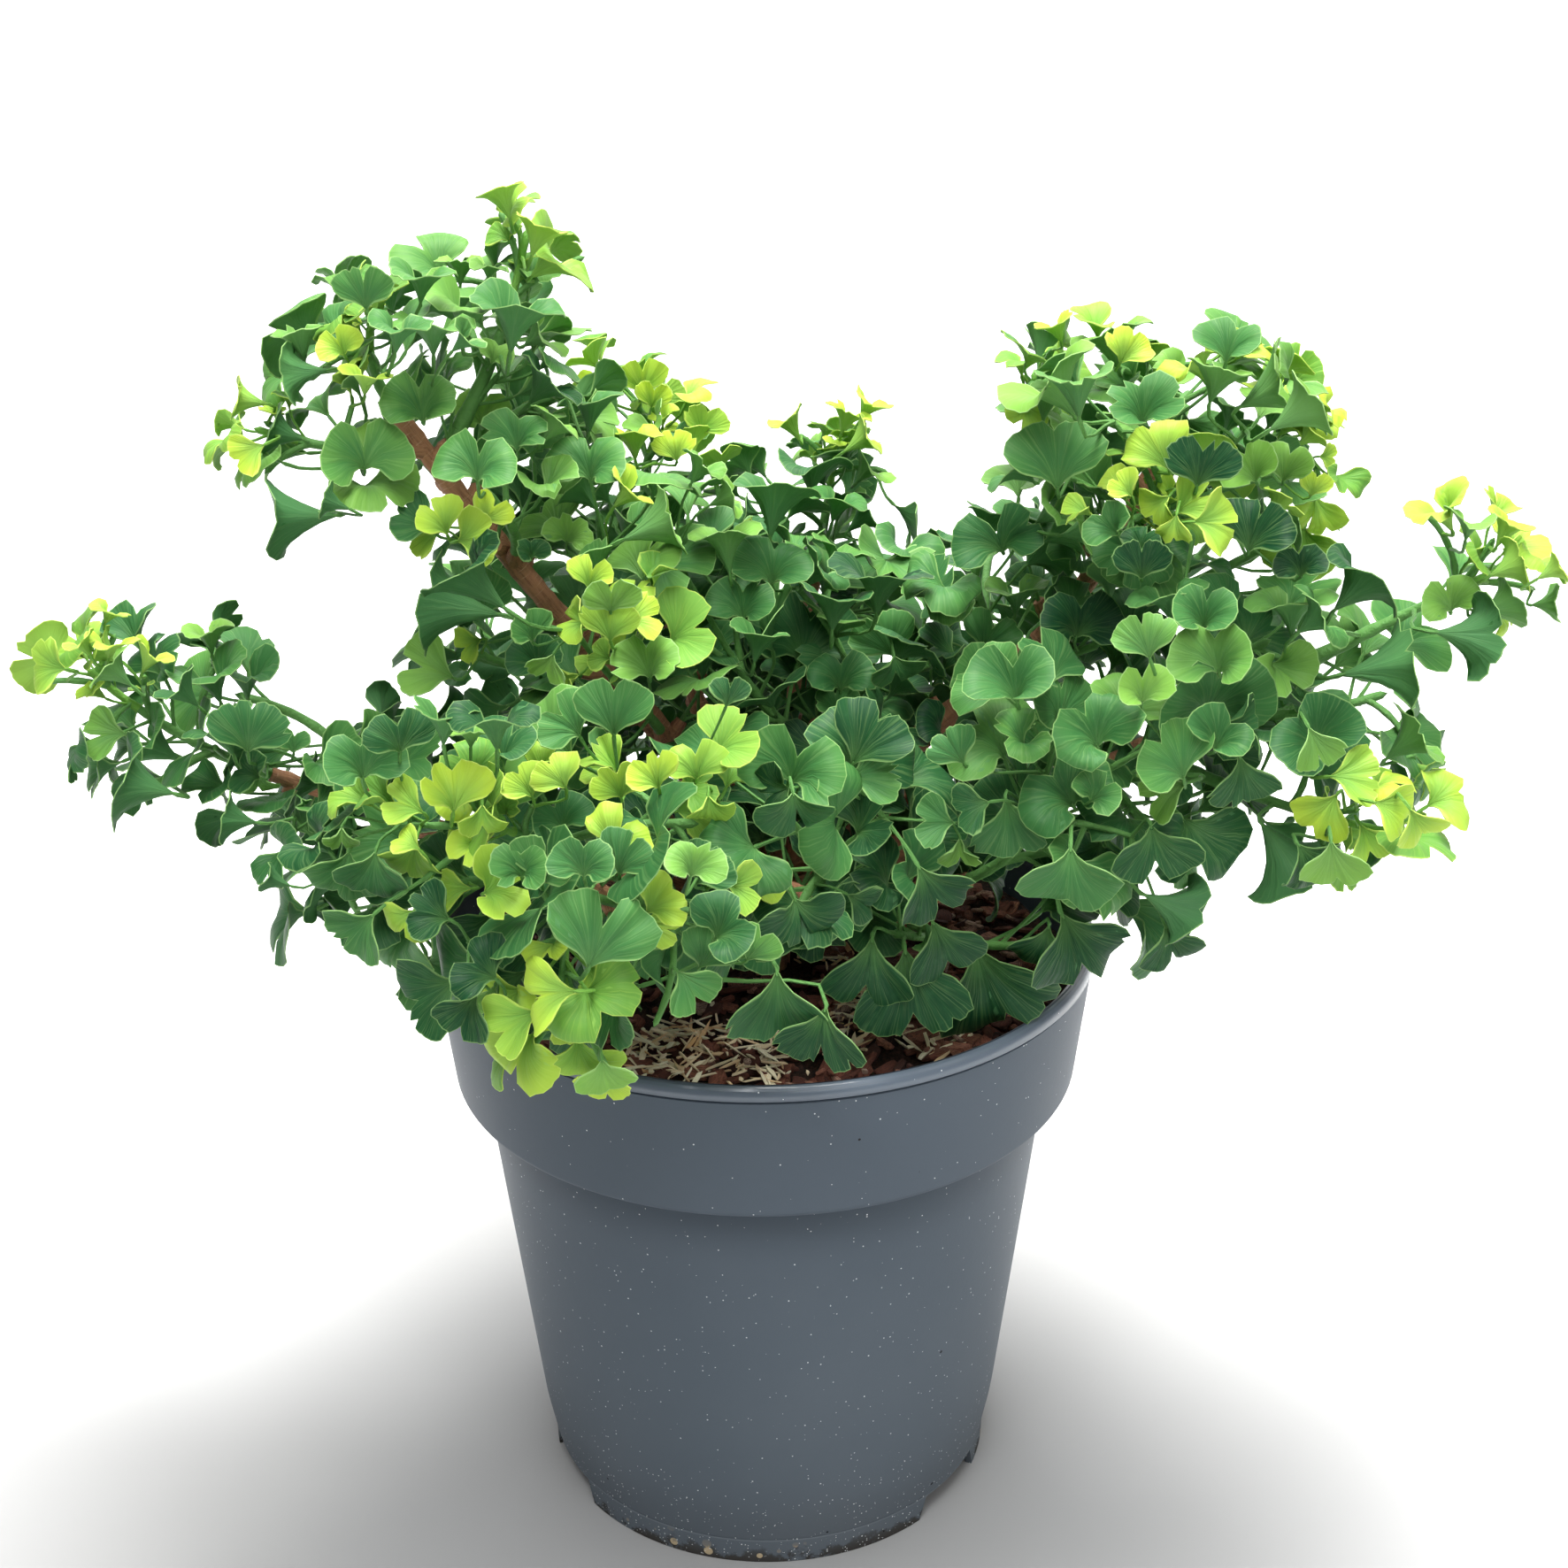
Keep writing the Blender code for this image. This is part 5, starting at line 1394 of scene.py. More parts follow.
def add_leaf(heap, rng, leaf, tone):
    """The stalk and blade of one leaf."""
    detail = draw_detail(rng, leaf, tone)
    fine = leaf.radius > FINE_FROM
    rows = FINE_ROWS if fine else PLAIN_ROWS
    u, reach = lobed_rim(rng, leaf, 4 if fine else 3)
    points, edge, flip = fine_blade(leaf, detail, u, reach, rows)
    shape = (len(u), len(rows))
    if shape not in SHEETS:
        SHEETS[shape] = sheet_faces(*shape)
    faces = SHEETS[shape] if flip < 0 else SHEETS[shape][:, ::-1]
    count = len(edge)
    places = np.stack([np.tile(u, len(rows)), np.repeat(rows, len(u)), edge], 1)
    marks = np.zeros((2 * count, 3))
    marks[:, 0] = detail.tone
    marks[count:, 1] = 1
    heap.add(points, faces, np.tile(places, (2, 1)), marks)
    length = (leaf.joint - leaf.root).length
    heading = (leaf.joint - leaf.root).normalized()
    lean = 0.5 * leaf.cone
    base = math.cos(lean) * leaf.rib + math.sin(lean) * leaf.face
    first = leaf.root + 0.4 * length * heading
    second = leaf.joint - 0.35 * length * base
    line = []
    for step in range(STALK_STEPS + 1):
        t = step / STALK_STEPS
        line.append((1 - t) ** 3 * leaf.root + 3 * t * (1 - t) ** 2 * first
                    + 3 * t ** 2 * (1 - t) * second + t ** 3 * leaf.joint)
    line.append(leaf.joint + STALK_INTO_BLADE * leaf.radius * base)
    scale = (leaf.radius / BLADE_RADIUS) ** 0.5
    hose(heap, line, [radius * scale for radius in STALK_RADII], STALK_SIDES, (detail.tone, 0, 1))


MATURE = {"deep": (0.006, 0.050, 0.018), "middle": (0.054, 0.200, 0.057), "clear": (0.230, 0.450, 0.090),
          "under": (0.095, 0.260, 0.095), "edge": (0.360, 0.600, 0.200), "stem": (0.160, 0.370, 0.095),
          "glow": (0.250, 0.540, 0.065), "rim_glow": 0.8}
YOUNG = {"deep": (0.070, 0.250, 0.048), "middle": (0.225, 0.470, 0.068), "clear": (0.410, 0.640, 0.086),
         "under": (0.330, 0.600, 0.120), "edge": (0.620, 0.790, 0.150), "stem": (0.150, 0.390, 0.070),
         "glow": (0.580, 0.790, 0.060), "rim_glow": 1.8}


def leaf_finish(name, deep, middle, clear, under, edge, stem, glow, rim_glow):
    """Waxy leaf skin: fine veins that fan out, a paler underside, a pale margin and a pale stalk."""
    material, start, shader = new_finish(name)
    across, along, margin, tone, below, stalk = read_heap(start)
    pleats = (across * 7 + tone * 40).joined(along * 0.5, tone * 17).noise(1.0, 2.0)
    streaks = (across * 17 + tone * 40).joined(along * 0.9, tone * 17).noise(1.0, 3.0)
    veins = (across * 46 + tone * 40).joined(along * 1.2, tone * 17).noise(1.0, 2.0, 0.5)
    place = start.node("ShaderNodeTexCoord", out="Object")
    mottle = place.noise(160.0, 4.0)
    light = tone * 0.9 + pleats * 0.28 + streaks * 0.18 - 0.21
    base = light.node("ShaderNodeValToRGB", {"stops": ((0.0, deep), (0.5, middle), (1.0, clear))}, {0: light})
    base = (along.ease(0.35, 1.0) * (tone * rim_glow - rim_glow * 0.35)).blend(base, glow)
    base = ((1 - along.ease(0.0, 0.60)) * 0.45).blend(base, stem)
    base = (veins.ease(0.48, 0.72) * 0.20).blend(base, edge)
    base = (mottle.ease(0.55, 0.75) * 0.14).blend(base, under)
    base = (below * 0.55).blend(base, under)
    base = ((1 - margin.ease(0.10, 0.60)) * (tone * 0.35 + 0.45)).blend(base, edge)
    base = (stalk * 0.94).blend(base, (pleats * 0.5).blend(stem, middle))
    rough = mottle * 0.16 + below * 0.10 + 0.40
    relief = pleats * 1.0 + streaks * 0.30 + veins * 0.10 + mottle * 0.10
    start.feed(shader, {"Base Color": base, "Roughness": rough, "IOR": 1.42, "Specular IOR Level": 0.24,
                        "Normal": relief.bump(0.0008)})
    lit = start.node("ShaderNodeBsdfTranslucent", {}, {"Color": opaque(glow)})
    both = start.node("ShaderNodeMixShader", {}, {0: 0.10, 1: Wire(start.tree, shader.outputs[0]), 2: lit})
    start.feed(material.node_tree.nodes["Material Output"], {"Surface": both})
    return material


def add_twig(heap, shoot, first, last, thick, thin, pointed, rng):
    """A green shoot, a little swollen at every third step along it, with a blunt or a pointed end."""
    steps = max(6, round((shoot.path(last) - shoot.path(first)).length / SHOOT_STEP))
    shares = [first + (last - first) * step / steps for step in range(steps + 1)]
    points = [shoot.path(share) for share in shares]
    radii = []
    for step in range(steps + 1):
        node = SWELLING if step % 3 == 0 else 0
        radii.append(thick + (thin - thick) * step / steps + node * rng.uniform(0.5, 1.3))
    hose(heap, points, radii, SHOOT_SIDES, (rng.uniform(0.3, 0.7), 0, 1), None, not pointed)


# More leaves than the CAD holds. They curl more than those: trumpets, bowls and waved fans
TRUMPET = ((25, 38), (4, 24), (62, 84))
BOWL = ((42, 56), (-10, 18), (76, 96))
WAVED_FAN = ((58, 74), (0, 22), (74, 96))
CURLED = (TRUMPET, BOWL, WAVED_FAN)
WRAPPED = ((50, 62), (0, 14), (102, 118))
ROLLED = ((34, 45), (0, 18), (86, 102))
FOLDED = ((24, 35), (2, 20), (60, 80))
HALF_OPEN = ((58, 74), (0, 20), (50, 72))
HANGING = ((72, 86), (0, 12), (50, 60))
MORE_GREEN = 3
MORE_ATTEMPTS = 12
TUFT_LEAVES = (2, 3, 3, 4)

# How far a leaf leans away from its twig, in radians: on a tuft, on a shoot, on a rosette of green
# leaves and on one of young leaves
TUFT_LIFTS = (0.35, 1.15)
SHOOT_LIFTS = (0.5, 1.2)
GREEN_LIFTS = (0.4, 1.15)
YOUNG_LIFTS = (0.15, 0.8)

# Short side shoots with a rosette of leaves at the end, where the photo shows one: the limb they
# belong to, the place in the photo in pixels, its depth behind the pot's middle in mm, and how many
# green and how many young leaves it has
SIDE_SHOOTS = {
    "upper_left": ((418, 318, -40, 1, 3), (300, 452, -50, 1, 3), (300, 505, -60, 1, 3), (395, 432, -80, 1, 3),
                   (520, 585, -75, 2, 3), (655, 265, -5, 1, 4), (565, 215, 5, 0, 3), (500, 290, 0, 3, 1),
                   (560, 400, -20, 4, 0), (600, 340, 10, 4, 0), (420, 480, -70, 4, 0), (480, 430, -70, 4, 0),
                   (350, 400, -60, 4, 0), (570, 500, -50, 4, 0), (380, 340, 0, 4, 0), (650, 690, -80, 1, 3),
                   (720, 680, -85, 1, 3), (740, 710, -80, 1, 2), (640, 420, 20, 4, 0)),
    "back_left": ((715, 430, 85, 2, 4), (770, 470, 70, 2, 4), (800, 500, 60, 2, 3), (740, 500, 50, 2, 3),
                  (690, 400, 90, 1, 3), (640, 480, 50, 4, 0), (700, 590, 30, 4, 0)),
    "middle": ((830, 600, -10, 2, 2), (900, 640, -10, 4, 0), (760, 600, -30, 3, 1), (640, 600, -30, 4, 0)),
    "back": ((905, 470, 100, 2, 3), (960, 465, 100, 1, 3), (1000, 510, 95, 2, 2), (870, 550, 80, 4, 0),
             (985, 590, 60, 4, 0)),
    "front_left": ((450, 905, -170, 1, 3), (480, 965, -185, 1, 3), (540, 890, -180, 2, 3),
                   (600, 885, -170, 1, 3), (700, 860, -150, 2, 3), (780, 855, -150, 1, 4),
                   (815, 885, -150, 1, 3), (845, 1005, -165, 2, 3), (740, 1030, -190, 3, 2),
                   (600, 960, -190, 4, 0), (680, 960, -180, 4, 0), (530, 1040, -190, 4, 1),
                   (600, 1160, -215, 1, 3), (690, 1190, -220, 1, 4), (740, 1130, -210, 1, 3),
                   (630, 1110, -215, 2, 3), (560, 1110, -205, 3, 1), (800, 1080, -190, 4, 0)),
    "dome": ((1190, 370, -10, 1, 3), (1165, 410, -20, 2, 3), (1255, 385, -10, 2, 3), (1370, 385, -10, 2, 3),
             (1440, 410, -15, 2, 3), (1485, 440, -10, 1, 3), (1495, 520, -20, 1, 4), (1480, 575, -30, 1, 3),
             (1305, 500, -85, 0, 2), (1280, 560, -90, 0, 3), (1350, 580, -95, 0, 3), (1400, 580, -90, 1, 3),
             (1400, 400, 10, 4, 0), (1180, 500, -50, 4, 0), (1260, 450, -60, 4, 0), (1410, 460, -60, 4, 0),
             (1150, 560, -40, 4, 0), (1440, 510, -60, 4, 0)),
    "right": ((1620, 560, -60, 1, 3), (1690, 585, -65, 1, 3), (1735, 640, -60, 0, 3), (1600, 830, -90, 1, 2),
              (1535, 890, -125, 1, 3), (1500, 940, -130, 1, 3), (1600, 930, -120, 1, 3),
              (1480, 740, -90, 4, 0), (1540, 770, -60, 4, 0), (1480, 820, -100, 4, 0)),
    "front_right": ((1340, 800, -130, 4, 0), (1200, 800, -120, 4, 0), (1280, 920, -130, 4, 0)),
    "left": ((50, 745, -80, 0, 3), (125, 695, -75, 1, 3), (160, 740, -80, 2, 2), (110, 830, -90, 3, 1),
             (240, 730, -60, 4, 0), (240, 820, -80, 4, 0), (140, 880, -90, 3, 0), (330, 900, -110, 4, 0),
             (300, 840, -80, 4, 0), (380, 960, -140, 4, 0), (400, 860, -80, 4, 0)),
}
SIDE_SHOOT_RADIUS = 0.0015
ROSETTE_HEIGHT = 0.010

# Shoots that are stouter than the others in the photo
STOUT = {"right_far": 1.8, "right_lime": 1.3, "crest": 1.5}
SHORTEST_SIDE_SHOOT = 0.022

# How far a blade may pass the CAD's extent, and the least room from an open place or a line of sight
# to its middle, as a share of its radius: for a filling leaf and for a leaf of the CAD
ROOM = 0.006
FILLING_ROOM = 0.45
CAD_LEAF_ROOM = 0.22

# Open places between the leaves, each a round hole along the line of sight: its place in the photo,
# its radius in mm, and from which depth to which it runs, in mm behind the pot's middle
OPEN_PLACES = (
    (395, 690, 34, -160, 200), (330, 660, 26, -160, 200), (385, 752, 20, -160, 200),
    (855, 460, 16, -160, 200), (1065, 520, 18, -160, 200), (1570, 620, 22, -160, 200),
    (1400, 635, 9, -160, 200), (1530, 830, 10, -160, 200), (620, 690, 14, -160, -36),
    (575, 625, 13, -160, -36), (525, 560, 12, -160, -40), (480, 495, 12, -160, -40),
    (720, 800, 14, -160, -30), (800, 1190, 26, -300, -115), (900, 1225, 26, -300, -130),
    (1010, 1195, 26, -300, -120), (1110, 1170, 22, -300, -110), (1190, 1130, 22, -300, -90),
    (1110, 1040, 24, -300, -50), (1000, 1180, 18, -300, -110), (588, 640, 12, -160, -36),
    (1640, 750, 12, -200, -70), (1570, 790, 12, -200, -70), (1340, 362, 14, -160, 200),
    (1530, 722, 11, -200, -58), (1575, 702, 11, -200, -62), (1620, 682, 11, -200, -66),
)


# Single leaves that stand out in the photo, by how the blade is turned to the viewer and how light it
# is. Each is written as two places in the photo, in pixels: where its stalk meets the blade, across
# and down, and the middle of its rim, across and down
SEEN_LEAVES = {
    ("drooping", "green"): (
        (642, 1098, 590, 1038), (664, 1096, 690, 1010), (790, 1094, 812, 1044), (844, 1086, 866, 1048),
        (764, 1096, 790, 1138), (612, 1000, 628, 944), (700, 990, 722, 940), (786, 1000, 820, 960)),
    ("wedge", "lime"): (
        (577, 250, 562, 208), (598, 315, 655, 272), (600, 292, 615, 246), (425, 354, 420, 314),
        (305, 457, 262, 450), (412, 448, 416, 408), (718, 522, 715, 474), (692, 575, 728, 543),
        (905, 500, 886, 465), (950, 492, 964, 454), (952, 512, 988, 486), (1200, 388, 1188, 356),
        (1362, 432, 1335, 382), (1466, 505, 1490, 484), (1642, 602, 1616, 552), (1690, 620, 1712, 580),
        (1682, 652, 1726, 632), (118, 706, 130, 680), (122, 746, 130, 706), (160, 762, 177, 728),
        (102, 742, 85, 716), (1736, 655, 1766, 638)),
    ("wedge", "light"): (
        (522, 388, 537, 310), (520, 325, 520, 282), (552, 318, 556, 286), (345, 412, 334, 366),
        (591, 392, 634, 366), (700, 612, 766, 584), (780, 548, 802, 514), (825, 652, 818, 590),
        (800, 572, 836, 556), (966, 548, 996, 512), (1215, 472, 1166, 402), (1265, 422, 1250, 358),
        (1366, 458, 1384, 402), (1398, 462, 1472, 424), (1432, 488, 1492, 452), (1656, 612, 1666, 570),
        (1668, 696, 1716, 678), (1730, 684, 1764, 682), (240, 742, 234, 700), (150, 776, 114, 746),
        (610, 504, 636, 464), (1046, 1042, 1058, 1072), (532, 846, 532, 814), (1564, 860, 1618, 820)),
    ("wedge", "green"): (
        (501, 844, 506, 788),
        (475, 345, 480, 288), (490, 404, 488, 336), (446, 402, 456, 348), (576, 402, 590, 324),
        (510, 398, 538, 374), (374, 418, 318, 424), (345, 498, 298, 484), (665, 492, 670, 436),
        (870, 612, 880, 536), (916, 562, 920, 502), (940, 592, 954, 544), (906, 666, 942, 626),
        (852, 752, 862, 702), (1220, 476, 1214, 408), (1170, 546, 1126, 514), (1460, 722, 1460, 654),
        (1466, 716, 1514, 682), (1326, 706, 1314, 646), (1147, 697, 1150, 646), (1618, 714, 1690, 724),
        (250, 796, 226, 732), (280, 792, 276, 734), (205, 860, 144, 830), (265, 856, 236, 800),
        (292, 930, 246, 926), (1512, 764, 1598, 750)),
    ("wedge", "dark"): (
        (385, 582, 304, 588), (396, 576, 362, 564), (596, 458, 636, 414), (956, 602, 986, 576),
        (990, 698, 1000, 618), (940, 716, 946, 656), (1506, 692, 1562, 638), (226, 800, 190, 766),
        (200, 898, 118, 886), (330, 1002, 298, 990), (1424, 928, 1466, 994), (1290, 1010, 1350, 1040),
        (562, 850, 556, 780), (574, 690, 505, 632), (570, 696, 476, 680)),
    ("cup", "lime"): (
        (390, 402, 374, 372), (545, 908, 545, 942), (800, 898, 802, 930), (546, 1010, 600, 998),
        (1322, 560, 1300, 586), (670, 704, 634, 698), (655, 762, 630, 776)),
    ("cup", "light"): (
        (555, 412, 565, 386), (545, 482, 548, 440), (640, 614, 650, 582), (735, 768, 730, 720),
        (1420, 546, 1402, 504), (1378, 762, 1372, 704), (1290, 796, 1290, 752), (780, 992, 790, 950),
        (386, 934, 386, 958), (1640, 692, 1630, 654), (1085, 946, 1086, 978), (290, 872, 292, 898)),
    ("cup", "green"): (
        (478, 478, 472, 422), (585, 512, 588, 464), (668, 545, 666, 490), (872, 662, 876, 606),
        (840, 702, 840, 654), (950, 782, 950, 736), (944, 812, 944, 776), (1290, 482, 1286, 424),
        (1385, 412, 1400, 364), (1265, 606, 1240, 576), (1360, 712, 1366, 662), (1150, 797, 1144, 730),
        (1240, 846, 1214, 786), (1214, 912, 1176, 860), (1232, 906, 1258, 880), (808, 1062, 848, 1030),
        (590, 992, 588, 950), (660, 992, 660, 948), (295, 880, 264, 864), (340, 902, 346, 912),
        (410, 882, 405, 826), (332, 852, 334, 826), (610, 760, 600, 718), (636, 940, 620, 900)),
    ("cup", "dark"): (
        (600, 632, 600, 606), (1215, 722, 1224, 666), (1470, 652, 1466, 614), (1490, 850, 1456, 798),
        (1372, 850, 1400, 806), (1288, 622, 1300, 596)),
    ("fan", "lime"): (
        (300, 502, 268, 524), (500, 600, 462, 612), (506, 606, 482, 566), (516, 612, 562, 600),
        (545, 592, 566, 560), (725, 448, 725, 402), (736, 462, 742, 428), (790, 492, 802, 456),
        (765, 522, 760, 486), (690, 726, 692, 676), (706, 702, 748, 696), (690, 745, 664, 736),
        (1322, 532, 1296, 478), (1280, 562, 1258, 538), (1326, 582, 1372, 554), (1346, 590, 1398, 596),
        (1330, 580, 1326, 614), (1480, 562, 1490, 532), (1490, 516, 1512, 518), (1265, 412, 1284, 372),
        (480, 920, 432, 902), (512, 920, 508, 860), (602, 902, 580, 868), (640, 892, 616, 856),
        (702, 902, 692, 856), (745, 892, 724, 852), (786, 882, 784, 834), (690, 962, 714, 914),
        (535, 1004, 490, 1012), (476, 962, 446, 944), (470, 950, 458, 992), (730, 1032, 766, 1000),
        (720, 1045, 768, 1058), (820, 1000, 862, 1004), (655, 1120, 584, 1128), (668, 1116, 752, 1132),
        (612, 1142, 562, 1176), (622, 1150, 614, 1216), (640, 1140, 652, 1174), (672, 1150, 690, 1216),
        (1500, 878, 1556, 884), (1512, 896, 1480, 940), (1550, 906, 1590, 930),
        (1592, 912, 1612, 952), (1536, 930, 1548, 972), (76, 756, 32, 748), (545, 722, 518, 738)),
    ("fan", "light"): (
        (1450, 546, 1462, 500), (1300, 746, 1288, 694), (1478, 820, 1492, 864), (426, 520, 386, 502),
        (560, 1112, 546, 1150), (650, 1190, 645, 1234), (680, 1196, 690, 1236), (1344, 884, 1292, 908),
        (145, 830, 98, 836), (690, 692, 690, 648), (515, 768, 450, 752), (626, 738, 614, 768),
        (1504, 948, 1514, 1000)),
    ("fan", "green"): (
        (415, 352, 410, 298), (602, 726, 586, 690), (1195, 556, 1190, 476), (1010, 742, 984, 690),
        (1110, 736, 1132, 688), (1090, 864, 1066, 826), (1080, 930, 1032, 928), (1136, 900, 1156, 964),
        (1210, 955, 1206, 1026), (1338, 882, 1300, 826), (280, 852, 286, 790), (395, 960, 380, 1012),
        (425, 960, 412, 1010), (956, 880, 1018, 872),
        (656, 834, 616, 794), (694, 834, 694, 766), (424, 1032, 384, 1066)),
    ("fan", "dark"): (
        (490, 602, 444, 580), (452, 852, 446, 800),
        (820, 800, 826, 764), (1352, 552, 1362, 490),
        (1290, 656, 1290, 606), (1410, 626, 1432, 562), (1490, 832, 1546, 830), (1400, 852, 1402, 912),
        (1465, 952, 1494, 998), (520, 1106, 460, 1140), (540, 1122, 520, 1166), (510, 1040, 458, 1030),
        (562, 1108, 516, 1076),
        (962, 866, 1002, 800), (1186, 1044, 1180, 1098), (1300, 930, 1306, 992), (956, 1010, 990, 1030),
        (1120, 906, 1078, 922)),
    ("butterfly", "green"): (
        (412, 532, 406, 470), (540, 545, 546, 486), (1134, 625, 1116, 566), (895, 886, 912, 816),
        (1010, 740, 1012, 778)),
    ("butterfly", "dark"): (
        (893, 890, 852, 904), (896, 894, 906, 944), (968, 944, 1010, 916), (897, 1014, 912, 1066)),
    ("drooping", "dark"): (
        (878, 1094, 880, 1176), (934, 1136, 930, 1206), (1022, 1070, 1032, 1162), (1100, 1062, 1144, 1156),
        (1198, 1030, 1224, 1110), (1036, 976, 1070, 1036), (1052, 1038, 1076, 1104),
        (986, 1056, 974, 1134), (1316, 1044, 1328, 1096)),
}

# For each way to be turned: the curl, whether the viewer sees the outside, how deep the middle notch
# is, and how much longer the blade is than it looks
TURNS = {"wedge": (FOLDED, True, (0.08, 0.26), 1.16), "cup": (ROLLED, False, (0.25, 0.45), 1.16),
         "fan": (HALF_OPEN, False, (0.16, 0.42), 1.06), "butterfly": (WRAPPED, False, (0.46, 0.62), 1.06),
         "drooping": (HANGING, False, (0.20, 0.46), 1.04)}
# How light each shade of seen leaf is drawn: partly the leaf's own colour, partly painted light and shade
SHADES = {"dark": 0.05, "green": 0.36, "light": 0.80, "lime": 0.56}
REACH_OF_SIGHT = 0.25
TIP_LIGHTER = 0.25
SIDE_SHOOT_LIGHTER = 0.2
STEPS_OUT = 14
FIRST_STEP_OUT = 0.010
STEP_OUT = 0.005
TESTED_STALK = 0.006
SEEN_SAG = (0, 0.06)
SEEN_RUFFLE = (0.01, 0.04)

# The room in front of a seen leaf that stays free of others: its length, and its width and its gap
# from the leaf as shares of the blade's radius
KEPT_IN_SIGHT = 0.12
SIGHT_WIDTH = 0.38
SIGHT_GAP = 0.3


# The crown's outline in the photo, in pixels across and down, which filling leaves stay inside
OUTLINE = (
    (12, 752), (60, 716), (104, 676), (150, 672), (165, 712), (196, 716), (262, 686), (296, 722), (302, 786),
    (360, 794), (440, 788), (436, 744), (452, 712), (476, 712), (470, 650), (498, 640), (484, 620),
    (428, 612), (424, 552), (356, 530), (272, 550), (242, 525), (246, 460), (306, 424), (326, 350),
    (362, 342), (366, 298), (462, 288), (490, 268), (548, 268), (570, 252), (530, 218), (562, 190),
    (600, 236), (690, 268), (680, 290), (615, 322), (660, 372), (690, 430), (696, 396), (740, 392),
    (826, 470), (832, 540), (850, 522), (905, 532), (876, 470), (884, 450), (938, 438), (988, 442),
    (1014, 512), (985, 545), (1003, 590), (1050, 598), (1104, 556), (1088, 515), (1170, 455), (1128, 424),
    (1158, 362), (1212, 346), (1294, 344), (1306, 384), (1376, 350), (1426, 378), (1462, 380), (1514, 450),
    (1536, 590), (1590, 655), (1612, 640), (1594, 544), (1690, 548), (1736, 572), (1742, 622), (1772, 622),
    (1772, 706), (1722, 762), (1628, 742), (1620, 790), (1642, 862), (1640, 930), (1600, 980), (1490, 1022),
    (1452, 1016), (1436, 968), (1352, 962), (1378, 1034), (1340, 1092), (1268, 1062), (1240, 1080),
    (1160, 1010), (1080, 1044), (990, 1064), (860, 1090), (790, 1120), (760, 1190), (700, 1242), (600, 1240),
    (500, 1186), (440, 1162), (436, 1075), (285, 1052), (292, 958), (234, 950), (240, 900), (140, 922),
    (100, 900), (82, 850), (92, 790), (38, 780),
)
SIGHT = camera.matrix_world.inverted()


def seen_at(across, down, depth):
    """The place that the photo shows at a pixel, at a depth behind the pot's middle in mm."""
    half = PHOTO_SIDE / 2
    ray = camera.matrix_world.to_3x3() @ Vector((across - half, half - down, -FOCAL_LENGTH))
    return EYE + ray * ((depth / 1000 - EYE.y) / ray.y)


def inside_outline(point):
    """Whether a place is inside the crown's outline in the photo."""
    local = SIGHT @ point
    across = PHOTO_SIDE / 2 - FOCAL_LENGTH * local.x / local.z
    down = PHOTO_SIDE / 2 + FOCAL_LENGTH * local.y / local.z
    crossings = 0
    for (x, y), (next_x, next_y) in zip(OUTLINE, OUTLINE[1:] + OUTLINE[:1]):
        if (y > down) != (next_y > down) and across < x + (next_x - x) * (down - y) / (next_y - y):
            crossings += 1
    return crossings % 2 == 1


def open_tubes():
    """The open places as rows of both ends and a radius."""
    return [(*seen_at(across, down, near), *seen_at(across, down, far), radius / 1000)
            for across, down, radius, near, far in OPEN_PLACES]


def place_on(leaf, share):
    """A place on the line from a blade's joint to the middle of its rim."""
    return leaf.joint + share * leaf.radius * leaf.rib


def inside_box(leaf):
    """Whether a blade is inside the CAD's extent, with a little room."""
    middle = place_on(leaf, 0.5)
    return all(low + 0.4 * leaf.radius - ROOM < value < high - 0.4 * leaf.radius + ROOM
               for value, low, high in zip(middle, *CAD_BOX))


def room_round(leaf, tubes):
    """How far the middle of a blade is from the nearest open place or line of sight."""
    middle = np.array(place_on(leaf, 0.5))
    along = tubes[:, 3:6] - tubes[:, :3]
    offset = middle - tubes[:, :3]
    share = np.clip((offset * along).sum(1) / (along * along).sum(1), 0, 1)
    return (np.linalg.norm(offset - share[:, None] * along, axis=1) - tubes[:, 6]).min()


def stands_open(leaf, tubes):
    """Whether a blade keeps out of the open places, in the outline and near the CAD's extent."""
    return (inside_box(leaf) and room_round(leaf, tubes) > FILLING_ROOM * leaf.radius
            and inside_outline(place_on(leaf, 0.5)) and inside_outline(place_on(leaf, 0.9)))


def kept(grown, fits):
    """The crown without the leaves that don't fit the photo."""
    return [(shoot, [leaf for leaf in green if fits(leaf)], [leaf for leaf in lime if fits(leaf)])
            for shoot, green, lime in grown]


def crown_solids(grown, guards):
    """The crown's shoots and leaves as solids, after those of the pot, the mulch and the wood."""
    solids = list(guards)
    for shoot, green, lime in grown:
        solids.append(twig_solid(shoot, 0, 1, TWIG_RADIUS, TWIG_TIP_RADIUS, True))
        solids += [leaf_solid(leaf) for leaf in green + lime]
    return solids


def shoot_points(grown, sided):
    """Places that a seen leaf's stalk can come from, and the limb that each belongs to."""
    places, limbs = [], []
    for limb, (_, _, line) in LIMBS.items():
        for share in np.linspace(0.45, 1, 10):
            places.append(point_on(line, share)[0])
            limbs.append(limb)
    for limb, path in ([(SPRAYS[shoot.name][0], shoot.path) for shoot, _, _ in grown]
                       + [(shoot.name, shoot.path) for shoots in sided.values() for shoot in shoots]):
        for share in np.linspace(0.15, 1, 9):
            places.append(path(share))
            limbs.append(limb)
    return np.array(places), limbs


